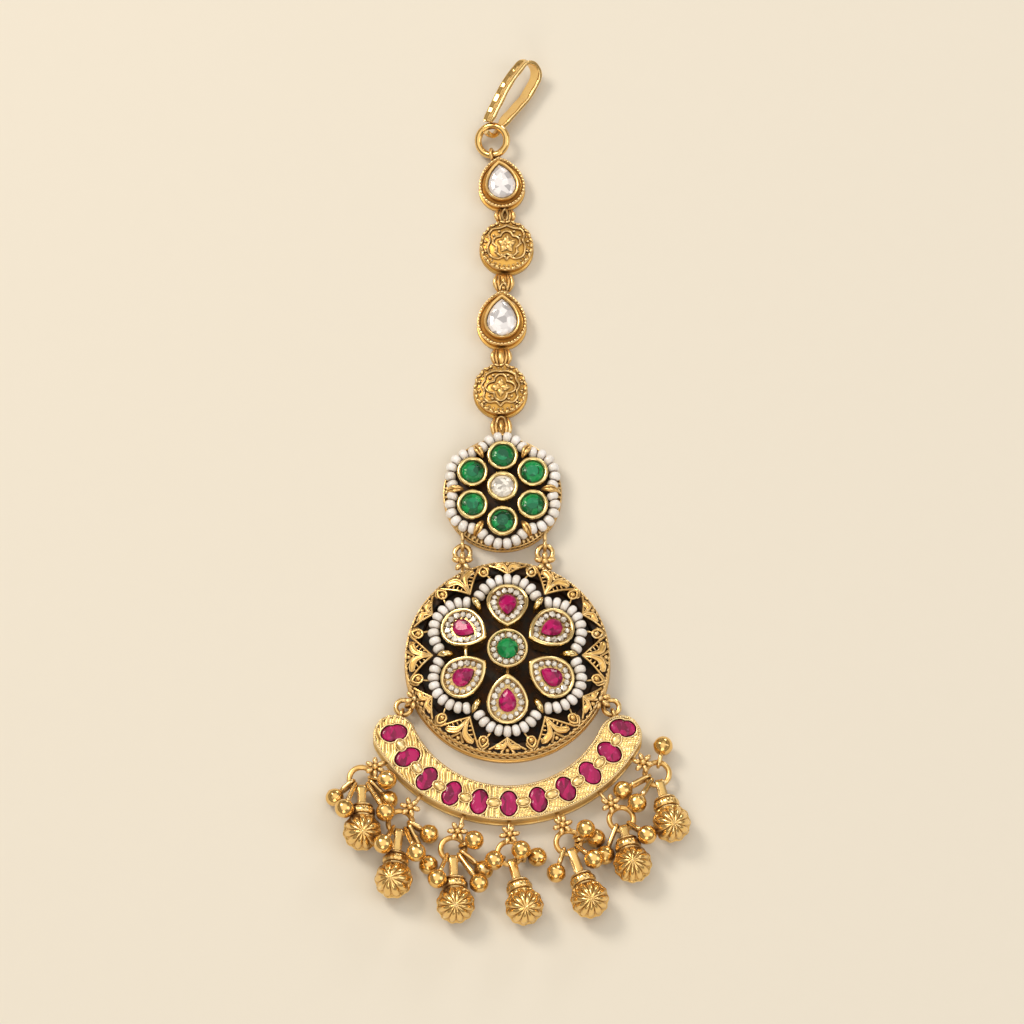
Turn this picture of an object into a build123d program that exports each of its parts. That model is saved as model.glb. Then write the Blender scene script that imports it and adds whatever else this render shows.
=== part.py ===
"""Maang tikka, a South Indian forehead jewel, laid out flat and face up.

A hair hook hangs on a ring. Below it come a teardrop link, a round link, a second teardrop
and a second round link, an emerald disc, a large ruby disc, and a ruby crescent with seven
clusters of bells and small ball drops. Millimetres, +Z up, +Y towards the hook. The origin
is the middle of the large disc's flat back, which lies on the surface at Z = 0.
"""
from build123d import *
import math
import os
from collections import namedtuple

# ---------------------------------------------------------------- driving dimensions
GAP = 0.1                   # running gap between pieces that are not soldered

DISC_R = 15.4               # large disc, at its beaded foot
DISC_WALL_H = 3.9           # height of its rim wall
DISH_R = 13.3               # dark dish inside the rim
DISH_Z = 2.6                # floor of the dish
CUP_REACH = 7.4             # middle of a ruby cup from the disc's middle
CUP_W = 6.3                 # ruby cup across
CUP_L = 7.65                # ruby cup from tip to round end
CUP_R = CUP_W / 2
CUP_TIP = CUP_L - CUP_R     # from the middle of its round end to its tip
CUP_SHIFT = (CUP_TIP - CUP_R) / 2
CUP_TOP_Z = 6.5
CUP_TILT = 15.0             # degrees that a ruby cup leans outwards
PEG_R = 0.3                 # pegs between neighbouring cups
PEG_Z = 5.9
BEZEL_T = 0.45              # thickness of every raised bezel edge
TRAY_DEPTH = 0.35           # paved tray below the bezel edge
RUBY_DROP_W = 2.7
RUBY_DROP_L = 3.6
STONE_POCKET = 1.3          # depth of a stone's pocket below its bezel edge
HUB_R = 3.08                # round middle cup of the large disc
HUB_TOP_Z = 8.4
HUB_STONE_R = 1.62
DISC_PEARL_R = 1.05
DISC_PEARL_STEP = 1.29
DISC_PEARLS = 9             # to each lobe
DISC_STRING_REACH = 7.3     # middle of each pearl string's arc
DISC_STRING_R = 4.7
DISC_PEARL_Z = 4.85
RAIL_T = 0.5                # thickness of the rail under each string
RONDELLE_R = 0.95           # gold rondelles between the strings
RONDELLE_HALF = 0.36
RONDELLE_REACH = 8.95

EMERALD_DISC = Vector(-0.75, 26.9, 0)
EMERALD_DISC_R = 8.9
EMERALD_PLATE_Z = 2.0
EMERALD_REACH = 5.2
EMERALD_CUP_R = 2.35
EMERALD_STEM_R = 1.7        # the same cup where it meets the plate
EMERALD_CUP_TOP_Z = 4.3
EMERALD_HUB_TOP_Z = 5.1
SMALL_PEARL_R = 0.88
SMALL_PEARL_STEP = 1.39
SMALL_PEARLS = 6            # to each lobe
SMALL_STRING_REACH = 4.87   # middle of each pearl string's arc
SMALL_STRING_R = 3.63

CRESCENT_H = 3.0
CRESCENT_OUTER = (-3.0, 22.25)      # middle's Y and radius of the outer edge
CRESCENT_INNER = (-4.65, 15.15)     # the same for the inner edge
CRESCENT_END = (16.9, -11.8)        # middle of the rounded right end
CRESCENT_END_R = 3.2
RUBY_OVAL_W = 2.65
RUBY_OVAL_L = 3.85
OVAL_POCKET = 1.1           # depth of an oval ruby's pocket

LINK_LIP = 0.25             # how far a link's foot stands out
ROUND_LINK_R = 4.1
BEZEL_TIP = 0.85            # share of a teardrop link's length that its bezel takes
LEAF_W = 1.12               # one leaf of a three-leaf link
LEAF_STEP = 0.98            # from one leaf to the next
LEAF_LOW_Z = 0.3
LEAF_H = 1.6

RING_TUBE = 0.3             # wire radius of the small connecting rings
CONNECTOR_R = 1.15          # wire centre radius of the connecting rings
LUG_TUBE = 0.25
LUG_R = 0.72
RING_Z = 1.6                # height of rings and lugs above the surface
DISC_LUG_NECK = 2.4         # from a lug's eye into a disc
CRESCENT_LUG_NECK = 0.4     # from a lug's eye into the crescent
DISC_LINK_X = (-6.75, 5.6)          # the two rings between the discs
DISC_LINK_Y = 17.35
CRESCENT_LINK = (15.5, -7.1)        # right ring between the large disc and the crescent
SMALL_FLOWER_Z = 3.2        # flowers on the large disc's lugs

TOP_RING_R = 2.25
TOP_RING_TUBE = 0.475
TOP_RING_AT = Vector(-2.3, 83.7, 2.05)
TOP_RING_TIP = (15.0, 18.0) # degrees that it tips up towards the hook and to the right
HOOK_W = 2.4                # width of the hammered strip
HOOK_T = 0.8
HOOK_LEAN = 57.0            # degrees from +X that the hook points
HOOK_RISE = 44.0            # degrees that its loop plane stands up from the surface
HOOK_ROUTE = [              # middle of the strip in its own plane, from the curled end
    (-1.42, 0.35), (-1.42, -1.42), (2.3, -1.3), (7.2, -2.0), (11.2, -1.4), (11.9, 1.9),
    (7.0, 2.3), (0.5, 1.15)]
HOOK_BENDS = [1.15, 3.5, 4.0, 1.7, 1.5, 6.0]
HOOK_NECK = (3.6, 1.0)      # length and width of the narrowed end

LOOP_R = 1.8                # fixed loop under each flower of the crescent
LOOP_TUBE = 0.3
LOOP_Z = 1.9
FLOWER_TO_LOOP = 2.5
FLOWER_Z = 3.0
BELL_R = 2.75
BELL_Z = 2.97               # height of a bell's middle
BELL_LIP = 0.18             # how far its seam stands out
COLLAR_R = 1.8
COLLAR_SPAN = (2.2, 4.3)    # from the bell's middle to the collar's two ends
STRAP_W = 1.3
STRAP_T = 0.34
STRAP_END = 4.0             # from the bell's middle to the strap's end inside the collar
BALL_R = 1.4
BALL_WIRE = 0.22
BALL_LOOP_HALF = 0.66       # half the width of a ball's wire loop
BALL_LOOP_END = 0.62        # how far that loop reaches past the wire it is threaded on

# ---------------------------------------------------------------- tables
TeardropLink = namedtuple("TeardropLink", "name x y lean radius tip height")
TEARDROP_LINKS = [
    TeardropLink("1", -0.85, 76.3, 7.5, 3.52, 4.75, 2.3),
    TeardropLink("2", -0.85, 54.1, 0.0, 3.75, 5.15, 2.6),
]

RoundLink = namedtuple("RoundLink", "name x y")
ROUND_LINKS = [
    RoundLink("1", -0.15, 66.5),
    RoundLink("2", -1.05, 43.4),
]

PetalLink = namedtuple("PetalLink", "name x low_y high_y")
PETAL_LINKS = [
    PetalLink("1", -0.4, 70.72, 72.66),
    PetalLink("2", -0.6, 59.55, 62.3),
    PetalLink("3", -0.95, 47.62, 50.2),
    PetalLink("4", -0.95, 35.95, 39.2),
]

OvalRuby = namedtuple("OvalRuby", "x y turn")
OVAL_RUBIES = [
    OvalRuby(-16.9, -11.6, 10),
    OvalRuby(-14.9, -15.4, 25),
    OvalRuby(-12.0, -18.8, 55),
    OvalRuby(-8.3, -21.1, 65),
    OvalRuby(-4.2, -22.4, 80),
    OvalRuby(0.2, -22.7, 90),
    OvalRuby(4.6, -22.1, 100),
    OvalRuby(8.7, -20.4, 115),
    OvalRuby(12.3, -17.9, 130),
    OvalRuby(15.2, -14.6, 145),
    OvalRuby(17.2, -10.8, 168),
]

# One row for each cluster: its flower on the crescent's edge and its bell.
Cluster = namedtuple("Cluster", "name flower_x flower_y bell_x bell_y")
CLUSTERS = [
    Cluster("1", -19.7, -17.0, -21.6, -27.1),
    Cluster("2", -14.5, -23.3, -16.9, -34.6),
    Cluster("3", -7.4, -27.1, -7.7, -38.5),
    Cluster("4", 0.3, -27.6, 2.5, -38.8),
    Cluster("5", 8.2, -26.1, 12.2, -37.7),
    Cluster("6", 15.4, -22.8, 18.6, -32.2),
    Cluster("7", 20.2, -16.3, 24.4, -25.8),
]

# One row for each ball drop: the ball's middle from the middle of its cluster's loop, its
# height above the surface, and where round the loop its wire is threaded, in degrees.
BallDrop = namedtuple("BallDrop", "cluster dx dy height thread")
BALL_DROPS = [
    BallDrop(1, -4.0, -2.8, 1.5, 205),
    BallDrop(1, 3.8, -0.7, 3.4, 1),
    BallDrop(1, 4.0, -3.2, 1.5, 333),
    BallDrop(1, -2.5, -5.7, 5.0, 229),
    BallDrop(1, 3.6, -5.8, 3.6, 311),
    BallDrop(2, 2.4, -5.8, 5.3, 304),
    BallDrop(2, 4.3, -1.8, 1.9, 350),
    BallDrop(2, 4.2, -6.5, 1.5, 327),
    BallDrop(2, -2.5, -4.5, 5.3, 221),
    BallDrop(3, -2.3, -5.5, 4.5, 233),
    BallDrop(3, 3.9, -5.7, 3.0, 311),
    BallDrop(3, 3.2, 0.8, 3.7, 18),
    BallDrop(3, 4.6, -3.2, 1.8, 335),
    BallDrop(4, -2.3, -1.9, 4.2, 220),
    BallDrop(4, 1.7, -0.3, 4.2, 334),
    BallDrop(4, 4.1, -0.5, 1.5, 359),
    BallDrop(5, -1.8, -4.9, 2.3, 244),
    BallDrop(5, 3.8, -3.2, 3.7, 332),
    BallDrop(5, 4.1, 0.8, 1.5, 10),
    BallDrop(5, 2.6, 1.4, 4.0, 38),
    BallDrop(6, -2.4, -5.6, 1.7, 240),
    BallDrop(6, 3.8, -3.2, 4.0, 326),
    BallDrop(7, -5.1, -2.7, 2.1, 202),
    BallDrop(7, -3.0, -5.0, 3.1, 234),
    BallDrop(7, 0.9, 4.3, 2.2, 80),
]

UP = Vector(0, 0, 1)


# ---------------------------------------------------------------- general shapes
def polar(angle, reach, z=0.0):
    """Point at an angle in degrees and a distance from the Z axis."""
    turn = math.radians(angle)
    return Vector(reach * math.cos(turn), reach * math.sin(turn), z)


def cone_frustum(bottom_r, top_r, low_z, high_z):
    """Round block between two heights on the Z axis."""
    return Pos(0, 0, low_z) * Cone(bottom_r, top_r, high_z - low_z,
                                   align=(Align.CENTER, Align.CENTER, Align.MIN))


def plug(radius, low_z, high_z):
    """Straight round block between two heights on the Z axis."""
    return Pos(0, 0, low_z) * Cylinder(radius, high_z - low_z,
                                       align=(Align.CENTER, Align.CENTER, Align.MIN))


def turned(profile):
    """Solid turned about Z from a list of (radius, height) corners."""
    outline = Polyline(*profile, close=True)
    return revolve(Plane.XZ * make_face(outline), Axis.Z)


def drop_face(radius, tip, z=0.0):
    """Teardrop outline round the origin, its tip at +Y."""
    shoulder = math.radians(12)
    right = (radius * math.cos(shoulder), radius * math.sin(shoulder))
    left = (-right[0], right[1])
    slope = (-math.sin(shoulder), math.cos(shoulder))
    right_side = TangentArc(right, (0, tip), tangent=slope)
    left_side = TangentArc(left, (0, tip), tangent=(-slope[0], slope[1]))
    bottom = ThreePointArc(left, (0, -radius), right)
    return Pos(0, 0, z) * make_face([right_side, left_side, bottom])


def wire_ring(middle, axis, radius, tube):
    """Round ring of round wire."""
    return Plane(origin=middle, z_dir=axis) * Torus(radius, tube)


def rod(start, end, radius):
    """Round bar between two points."""
    run = end - start
    bar = Cylinder(radius, run.length, align=(Align.CENTER, Align.CENTER, Align.MIN))
    return Plane(origin=start, z_dir=run) * bar


def rosette(middle, petals, reach, petal_r):
    """Flower of granules on top of a loop: a ring of balls round a middle ball."""
    flower = Pos(*middle) * Cylinder(reach, 2 * petal_r)
    flower += Pos(*(middle + UP * petal_r)) * Sphere(petal_r)
    for index in range(petals):
        place = middle + polar(360 / petals * index + 15, reach)
        flower += Pos(*place) * Sphere(petal_r)
    return flower


def round_stone(radius, low_z, high_z):
    """Faceted round stone: a pavilion, a girdle, a crown and a flat table."""
    girdle = low_z + 0.6 * (high_z - low_z)
    return turned([(0, low_z), (0.45 * radius, low_z), (radius, girdle - 0.06),
                   (radius, girdle + 0.06), (0.68 * radius, high_z), (0, high_z)])


def drop_stone(radius, tip, low_z, high_z):
    """Faceted teardrop stone, its tip at +Y."""
    girdle = low_z + 0.6 * (high_z - low_z)
    lower = loft([drop_face(0.55 * radius, 0.55 * tip, low_z), drop_face(radius, tip, girdle)])
    upper = loft([drop_face(radius, tip, girdle),
                  drop_face(0.7 * radius, 0.7 * tip, high_z)])
    return lower + upper


def oval_stone(width, length, low_z, high_z):
    """Smooth oval stone standing on the XY plane, its long side along X."""
    lower = extrude(Pos(0, 0, low_z) * Ellipse(length / 2, width / 2), high_z - low_z - 0.3)
    upper = loft([Pos(0, 0, high_z - 0.3) * Ellipse(length / 2, width / 2),
                  Pos(0, 0, high_z) * Ellipse(length / 2 - 0.3, width / 2 - 0.3)])
    return lower + upper


# ---------------------------------------------------------------- hook and top ring
def top_ring_plane():
    """Plane of the top ring, tipped up towards the hook and to the right."""
    forward = math.radians(TOP_RING_TIP[0])
    sideways = math.radians(TOP_RING_TIP[1])
    right = Vector(math.cos(sideways), 0, math.sin(sideways))
    ahead = Vector(0, math.cos(forward), math.sin(forward))
    return Plane(origin=TOP_RING_AT, z_dir=right.cross(ahead))


def top_ring_point(side):
    """Point on the ring's wire centre: side +1 is its hook end, -1 its link end."""
    normal = top_ring_plane().z_dir
    ahead = normal.cross(Vector(1, 0, 0)).normalized()
    return TOP_RING_AT + ahead * (side * TOP_RING_R)


def top_ring():
    """Heavy jump ring between the hook and the first link."""
    return wire_ring(TOP_RING_AT, top_ring_plane().z_dir, TOP_RING_R, TOP_RING_TUBE)


def hook():
    """Flat hammered strip bent into a crook, its narrowed end curled round the ring."""
    along = polar(HOOK_LEAN, 1)
    rise = math.radians(HOOK_RISE)
    across = polar(HOOK_LEAN + 90, math.cos(rise), math.sin(rise))
    bend_plane = Plane(origin=top_ring_point(1), x_dir=along, z_dir=along.cross(across))
    route = FilletPolyline(*HOOK_ROUTE, radius=HOOK_BENDS)
    strip = extrude(trace(route, HOOK_T), HOOK_W / 2, both=True)
    neck_len, neck_w = HOOK_NECK
    shave = (HOOK_W - neck_w) / 2
    start = HOOK_ROUTE[0][0] - HOOK_T / 2
    for side in (1, -1):
        middle = (start + neck_len / 2, -1.0, side * (HOOK_W - shave) / 2)
        strip -= Pos(*middle) * Box(neck_len, 3.4, shave)
    return bend_plane * strip


# ---------------------------------------------------------------- links
def teardrop_link(row):
    """Teardrop box with a foot, a beaded shoulder and a raised bezel round its stone."""
    body = extrude(drop_face(row.radius, row.tip), 0.5)
    wall = (row.radius - LINK_LIP, row.tip - 1.4 * LINK_LIP)
    body += extrude(drop_face(*wall), row.height)
    body += extrude(drop_face(row.radius, row.tip, row.height - 0.45), 0.45)
    bezel = (0.73 * row.radius, BEZEL_TIP * row.tip)
    body += extrude(drop_face(*bezel), row.height + 0.55)
    pocket = (bezel[0] - BEZEL_T, bezel[1] - 1.5 * BEZEL_T)
    body -= extrude(drop_face(*pocket, row.height - 0.65), 2.0)
    return Pos(row.x, row.y, 0) * Rot(0, 0, row.lean) * body


def teardrop_stone(row):
    """Clear stone in a teardrop link."""
    radius = 0.73 * row.radius - BEZEL_T - GAP / 2
    tip = BEZEL_TIP * row.tip - 1.5 * BEZEL_T - GAP / 2
    stone = drop_stone(radius, tip, row.height - 0.6, row.height + 0.6)
    return Pos(row.x, row.y, 0) * Rot(0, 0, row.lean) * stone


def link_eye():
    """Small upright eye on the first link's tip, through which the top ring passes."""
    return wire_ring(top_ring_point(-1), Vector(1, 0.1, 0.3), 0.92, LUG_TUBE)


def round_link():
    """Round box with a foot, a waisted wall, a roped rim and a domed carved face."""
    r = ROUND_LINK_R
    return turned([(0, 0), (r, 0), (r, 0.5), (r - LINK_LIP, 0.6), (r - LINK_LIP, 2.0),
                   (r, 2.3), (r - 0.1, 2.8), (r - 0.7, 2.95), (1.7, 3.35), (0, 3.45)])


def petal_link(row):
    """Three leaves side by side on a cross bar, between two links."""
    length = row.high_y - row.low_y
    bulge = LEAF_W / 2
    right = ThreePointArc((0, 0), (bulge, length / 2), (0, length))
    left = ThreePointArc((0, length), (-bulge, length / 2), (0, 0))
    leaf = extrude(make_face([right, left]), LEAF_H)
    fan = Pos(0, length / 2, LEAF_H / 2) * Box(2 * LEAF_STEP + 0.6, 0.7, 0.9)
    for side in (-1, 0, 1):
        fan += Pos(side * LEAF_STEP, 0, 0) * leaf
    return Pos(row.x, row.low_y, LEAF_LOW_Z) * fan


# ---------------------------------------------------------------- emerald disc
def emerald_disc_setting():
    """Drum with a pearl plate, six outer cups, a taller middle cup and two lugs."""
    r = EMERALD_DISC_R
    h = EMERALD_PLATE_Z
    setting = turned([(0, 0), (r, 0), (r, 0.5), (r - 0.35, 0.6), (r - 0.35, h - 0.5),
                      (r - 0.05, h - 0.4), (r - 0.05, h - 0.1), (r - 0.15, h), (0, h)])
    for angle in range(30, 360, 60):
        place = polar(angle, EMERALD_REACH)
        cup = cone_frustum(EMERALD_STEM_R, EMERALD_CUP_R, h - 0.2, EMERALD_CUP_TOP_Z)
        setting += Pos(*place) * cup
        setting -= Pos(*place) * plug(EMERALD_CUP_R - BEZEL_T, EMERALD_CUP_TOP_Z - 1,
                                      EMERALD_CUP_TOP_Z + 1)
    setting += cone_frustum(EMERALD_STEM_R, EMERALD_CUP_R, h - 0.2, EMERALD_HUB_TOP_Z)
    setting -= plug(EMERALD_CUP_R - BEZEL_T, EMERALD_HUB_TOP_Z - 1, EMERALD_HUB_TOP_Z + 1)
    return Pos(*EMERALD_DISC) * setting


def emerald(index):
    """Round emerald in one of the six outer cups."""
    place = EMERALD_DISC + polar(30 + 60 * index, EMERALD_REACH)
    radius = EMERALD_CUP_R - BEZEL_T - GAP / 2
    return Pos(*place) * round_stone(radius, EMERALD_CUP_TOP_Z - 0.95, EMERALD_CUP_TOP_Z + 0.3)


def clear_stone():
    """Clear stone in the middle cup of the emerald disc."""
    radius = EMERALD_CUP_R - BEZEL_T - GAP / 2
    return Pos(*EMERALD_DISC) * round_stone(radius, EMERALD_HUB_TOP_Z - 0.95,
                                            EMERALD_HUB_TOP_Z + 0.35)


def pearl(radius, half):
    """Oblate pearl drilled along the Z axis."""
    flat = 0.62 * radius
    waist = 0.42 * half
    return turned([(0, -half), (flat, -half), (radius, -waist), (radius, waist),
                   (flat, half), (0, half)])


def pearl_strings(middle, reach, arc_r, pearl_r, step, count, z):
    """Six strings of pearls, each an arc round the outer side of one cup."""
    strings = []
    spread = math.degrees(step / arc_r)
    for lobe in range(6):
        outward = 30 + 60 * lobe
        centre = middle + polar(outward, reach, z)
        string = None
        for index in range(count):
            swing = (index - (count - 1) / 2) * spread
            angle = outward + swing
            place = Plane(origin=centre + polar(angle, arc_r), z_dir=polar(angle + 90, 1))
            bead = place * pearl(pearl_r, 0.53 * step)
            string = bead if string is None else string + bead
        strings.append(string)
    return strings


# ---------------------------------------------------------------- large disc
def ruby_cup_plane(index):
    """Plane of one ruby cup's bezel edge, +Y towards the disc's middle."""
    outward = 30 + 60 * index
    lean = math.radians(CUP_TILT)
    normal = polar(outward, math.sin(lean), math.cos(lean))
    side = polar(outward + 90, 1)
    return Plane(origin=polar(outward, CUP_REACH + CUP_SHIFT, CUP_TOP_Z),
                 x_dir=side, z_dir=normal)


def ruby_cup():
    """Leaning teardrop cup with a tray for paving and a pocket for its ruby."""
    depth = CUP_TOP_Z - DISH_Z + 0.6
    cup = loft([drop_face(CUP_R, CUP_TIP), drop_face(0.72 * CUP_R, 0.72 * CUP_TIP, -depth)])
    tray = (CUP_R - BEZEL_T, CUP_TIP - 1.5 * BEZEL_T)
    cup -= extrude(drop_face(*tray, -TRAY_DEPTH), 1.0)
    pocket = (RUBY_DROP_W / 2 + GAP / 2, RUBY_DROP_L - RUBY_DROP_W / 2 + GAP)
    cup -= extrude(drop_face(*pocket, -STONE_POCKET), 2.0)
    return cup


def cup_pegs():
    """Pegs that join the two left cups, and the middle cup to those above and below it."""
    pegs = [rod(Vector(-6.2, 1.4, PEG_Z), Vector(-6.2, -1.4, PEG_Z), PEG_R)]
    for side in (-1, 1):
        start = Vector(0, side * (HUB_R - 0.9), PEG_Z)
        end = Vector(0, side * (CUP_REACH + CUP_SHIFT - CUP_TIP + 1.4), PEG_Z)
        pegs.append(rod(start, end, PEG_R))
    return pegs


def pearl_rail():
    """Low curved wall in the dish, just under one string of pearls on the +X side."""
    top = DISC_PEARL_Z - DISC_PEARL_R - GAP / 2
    sweep = (DISC_PEARLS - 1) * math.degrees(DISC_PEARL_STEP / DISC_STRING_R)
    arc = CenterArc((DISC_STRING_REACH, 0, DISH_Z - 0.2), DISC_STRING_R, -sweep / 2, sweep)
    return extrude(trace(arc, RAIL_T), top - DISH_Z + 0.2)


def rondelle():
    """Upright gold rondelle on a post, between two strings of pearls on the +X side."""
    disc = turned([(0, -RONDELLE_HALF), (0.6 * RONDELLE_R, -RONDELLE_HALF), (RONDELLE_R, 0),
                   (0.6 * RONDELLE_R, RONDELLE_HALF), (0, RONDELLE_HALF)])
    shape = Plane(origin=(RONDELLE_REACH, 0, DISC_PEARL_Z), z_dir=(0, 1, 0)) * disc
    return shape + Pos(RONDELLE_REACH, 0, 0) * plug(0.3, DISH_Z - 0.2, DISC_PEARL_Z - 0.5)


def large_disc_setting():
    """Drum with a dish, six ruby cups, a middle cup, pegs, pearl rails and rondelles."""
    r = DISC_R
    h = DISC_WALL_H
    setting = turned([(0, 0), (r, 0), (r, 0.6), (r - 0.4, 0.75), (r - 0.4, h - 0.7),
                      (r, h - 0.5), (r - 0.1, h), (DISH_R + 0.2, h + 0.6),
                      (DISH_R, h + 0.3), (DISH_R, DISH_Z), (0, DISH_Z)])
    for index in range(6):
        setting += ruby_cup_plane(index) * ruby_cup()
    for peg in cup_pegs():
        setting += peg
    for index in range(6):
        setting += Rot(0, 0, 30 + 60 * index) * pearl_rail()
        setting += Rot(0, 0, 60 * index) * rondelle()
    setting += cone_frustum(2.2, HUB_R, DISH_Z - 0.2, HUB_TOP_Z)
    setting -= plug(HUB_R - BEZEL_T, HUB_TOP_Z - TRAY_DEPTH, HUB_TOP_Z + 1)
    setting -= plug(HUB_STONE_R + GAP / 2, HUB_TOP_Z - STONE_POCKET, HUB_TOP_Z + 1)
    return setting


def ruby_drop(index):
    """Teardrop ruby standing in the paving of one cup."""
    tip = RUBY_DROP_L - RUBY_DROP_W / 2
    stone = drop_stone(RUBY_DROP_W / 2, tip, GAP / 2 - STONE_POCKET, 0.3)
    return ruby_cup_plane(index) * stone


def hub_emerald():
    """Round green stone in the middle cup."""
    return round_stone(HUB_STONE_R, HUB_TOP_Z - STONE_POCKET + GAP / 2, HUB_TOP_Z + 0.35)


# ---------------------------------------------------------------- rings between pieces
def lug(ring_middle, towards, reach, neck=0.0):
    """Upright eye round a connecting ring's wire, with a neck to the piece behind it."""
    heading = (towards - ring_middle).normalized()
    eye = ring_middle + heading * reach
    side = heading.cross(UP)
    shape = wire_ring(eye, side, LUG_R, LUG_TUBE)
    if neck > 0:
        start = eye + heading * LUG_R
        shape += rod(start, start + heading * neck, LUG_TUBE)
    return shape


def disc_link_ring(x):
    """Middle of one ring between the two discs."""
    return Vector(x, DISC_LINK_Y, RING_Z)


def crescent_link_ring(side):
    """Middle of one ring between the large disc and the crescent."""
    return Vector(side * CRESCENT_LINK[0], CRESCENT_LINK[1], RING_Z)


def large_disc_lugs():
    """The four eyes on the large disc's edge, each under a small flower."""
    lugs = []
    for x in DISC_LINK_X:
        ring = disc_link_ring(x)
        behind = ring - Vector(0, 1, 0)
        shape = lug(ring, behind, CONNECTOR_R, DISC_LUG_NECK)
        post = ring - Vector(0, CONNECTOR_R + LUG_R, 0)
        shape += rod(post, Vector(post.X, post.Y, SMALL_FLOWER_Z), LUG_TUBE)
        shape += rosette(Vector(post.X, post.Y - 0.1, SMALL_FLOWER_Z), 5, 0.75, 0.45)
        lugs.append(shape)
    for side in (-1, 1):
        ring = crescent_link_ring(side)
        shape = lug(ring, Vector(0, 0, RING_Z), CONNECTOR_R, CRESCENT_LUG_NECK)
        heading = (Vector(0, 0, RING_Z) - ring).normalized()
        post = ring + heading * (CONNECTOR_R + LUG_R)
        shape += rod(post, Vector(post.X, post.Y, SMALL_FLOWER_Z), LUG_TUBE)
        shape += rosette(Vector(post.X, post.Y, SMALL_FLOWER_Z), 6, 0.8, 0.42)
        lugs.append(shape)
    return lugs


def emerald_disc_lugs():
    """The two eyes on the emerald disc's lower edge."""
    lugs = []
    for x in DISC_LINK_X:
        ring = disc_link_ring(x)
        ahead = ring + Vector(0, 1, 0)
        lugs.append(lug(ring, ahead, CONNECTOR_R, DISC_LUG_NECK))
    return lugs


# ---------------------------------------------------------------- crescent and clusters
def crescent_plate():
    """Flat ruby crescent with its pockets, end eyes, seven loops and seven flowers."""
    outer_y, outer_r = CRESCENT_OUTER
    inner_y, inner_r = CRESCENT_INNER
    end = Vector(*CRESCENT_END, 0)
    out_dir = (end - Vector(0, outer_y, 0)).normalized()
    in_dir = (end - Vector(0, inner_y, 0)).normalized()
    outer_end = Vector(0, outer_y, 0) + out_dir * outer_r
    inner_end = Vector(0, inner_y, 0) + in_dir * inner_r
    cap_dir = UP.cross(out_dir + in_dir).normalized()
    cap = end + cap_dir * CRESCENT_END_R

    def mirrored(point):
        return Vector(-point.X, point.Y, 0)

    outline = make_face([
        ThreePointArc(mirrored(outer_end), (0, outer_y - outer_r), outer_end),
        ThreePointArc(outer_end, cap, inner_end),
        ThreePointArc(inner_end, (0, inner_y - inner_r), mirrored(inner_end)),
        ThreePointArc(mirrored(inner_end), mirrored(cap), mirrored(outer_end)),
    ])
    plate = extrude(outline, CRESCENT_H)
    for row in OVAL_RUBIES:
        pocket = Ellipse(RUBY_OVAL_L / 2 + GAP / 2, RUBY_OVAL_W / 2 + GAP / 2)
        cut = extrude(Pos(0, 0, CRESCENT_H - OVAL_POCKET) * pocket, 2.0)
        plate -= Pos(row.x, row.y, 0) * Rot(0, 0, row.turn) * cut
    for side in (-1, 1):
        ring = crescent_link_ring(side)
        plate += lug(ring, Vector(side * end.X, end.Y, RING_Z), CONNECTOR_R, CRESCENT_LUG_NECK)
    for row in CLUSTERS:
        plate += cluster_mount(row)
    return plate


def loop_middle(row):
    """Middle of the fixed loop of a cluster, straight out from the crescent's edge."""
    flower = Vector(row.flower_x, row.flower_y, 0)
    outward = (flower - Vector(0, CRESCENT_OUTER[0], 0)).normalized()
    middle = flower + outward * FLOWER_TO_LOOP
    return Vector(middle.X, middle.Y, LOOP_Z)


def cluster_mount(row):
    """Fixed loop, its neck to the crescent, and the flower on the neck."""
    middle = loop_middle(row)
    flower = Vector(row.flower_x, row.flower_y, FLOWER_Z)
    outward = Vector(middle.X - flower.X, middle.Y - flower.Y, 0).normalized()
    root = Vector(0, CRESCENT_OUTER[0], LOOP_Z) + outward * (CRESCENT_OUTER[1] - 0.3)
    mount = wire_ring(middle, UP, LOOP_R, LOOP_TUBE)
    mount += rod(root, middle - outward * LOOP_R, LOOP_TUBE)
    mount += rod(Vector(flower.X, flower.Y, LOOP_Z), flower, 0.5)
    return mount + rosette(flower, 6, 0.85, 0.45)


def bell(row):
    """Melon bell with a seam lip, a collar and a flat strap folded round the loop."""
    body_at = Vector(row.bell_x, row.bell_y, BELL_Z)
    loop = loop_middle(row)
    flat = Vector(body_at.X - loop.X, body_at.Y - loop.Y, 0).normalized()
    thread = loop + flat * (LOOP_R - 0.1)
    run = body_at - thread
    heading = run.normalized()
    side = heading.cross(UP).normalized()
    shape = Pos(*body_at) * Sphere(BELL_R)
    shape += Pos(*body_at) * Cylinder(BELL_R + BELL_LIP, 0.4)
    collar_low, collar_high = COLLAR_SPAN
    shape += rod(body_at - heading * collar_low, body_at - heading * collar_high, COLLAR_R)
    hole_r = LOOP_TUBE + GAP + 0.02
    strap_len = run.length - STRAP_END
    outer = Pos(strap_len / 2, 0) * SlotCenterToCenter(strap_len, 2 * (hole_r + STRAP_T))
    hole_len = strap_len - 1.0
    hole = Pos(hole_len / 2, 0) * SlotCenterToCenter(hole_len, 2 * hole_r)
    strap = extrude(outer - hole, STRAP_W / 2, both=True)
    return shape + Plane(origin=thread, x_dir=heading, z_dir=side) * strap


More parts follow.
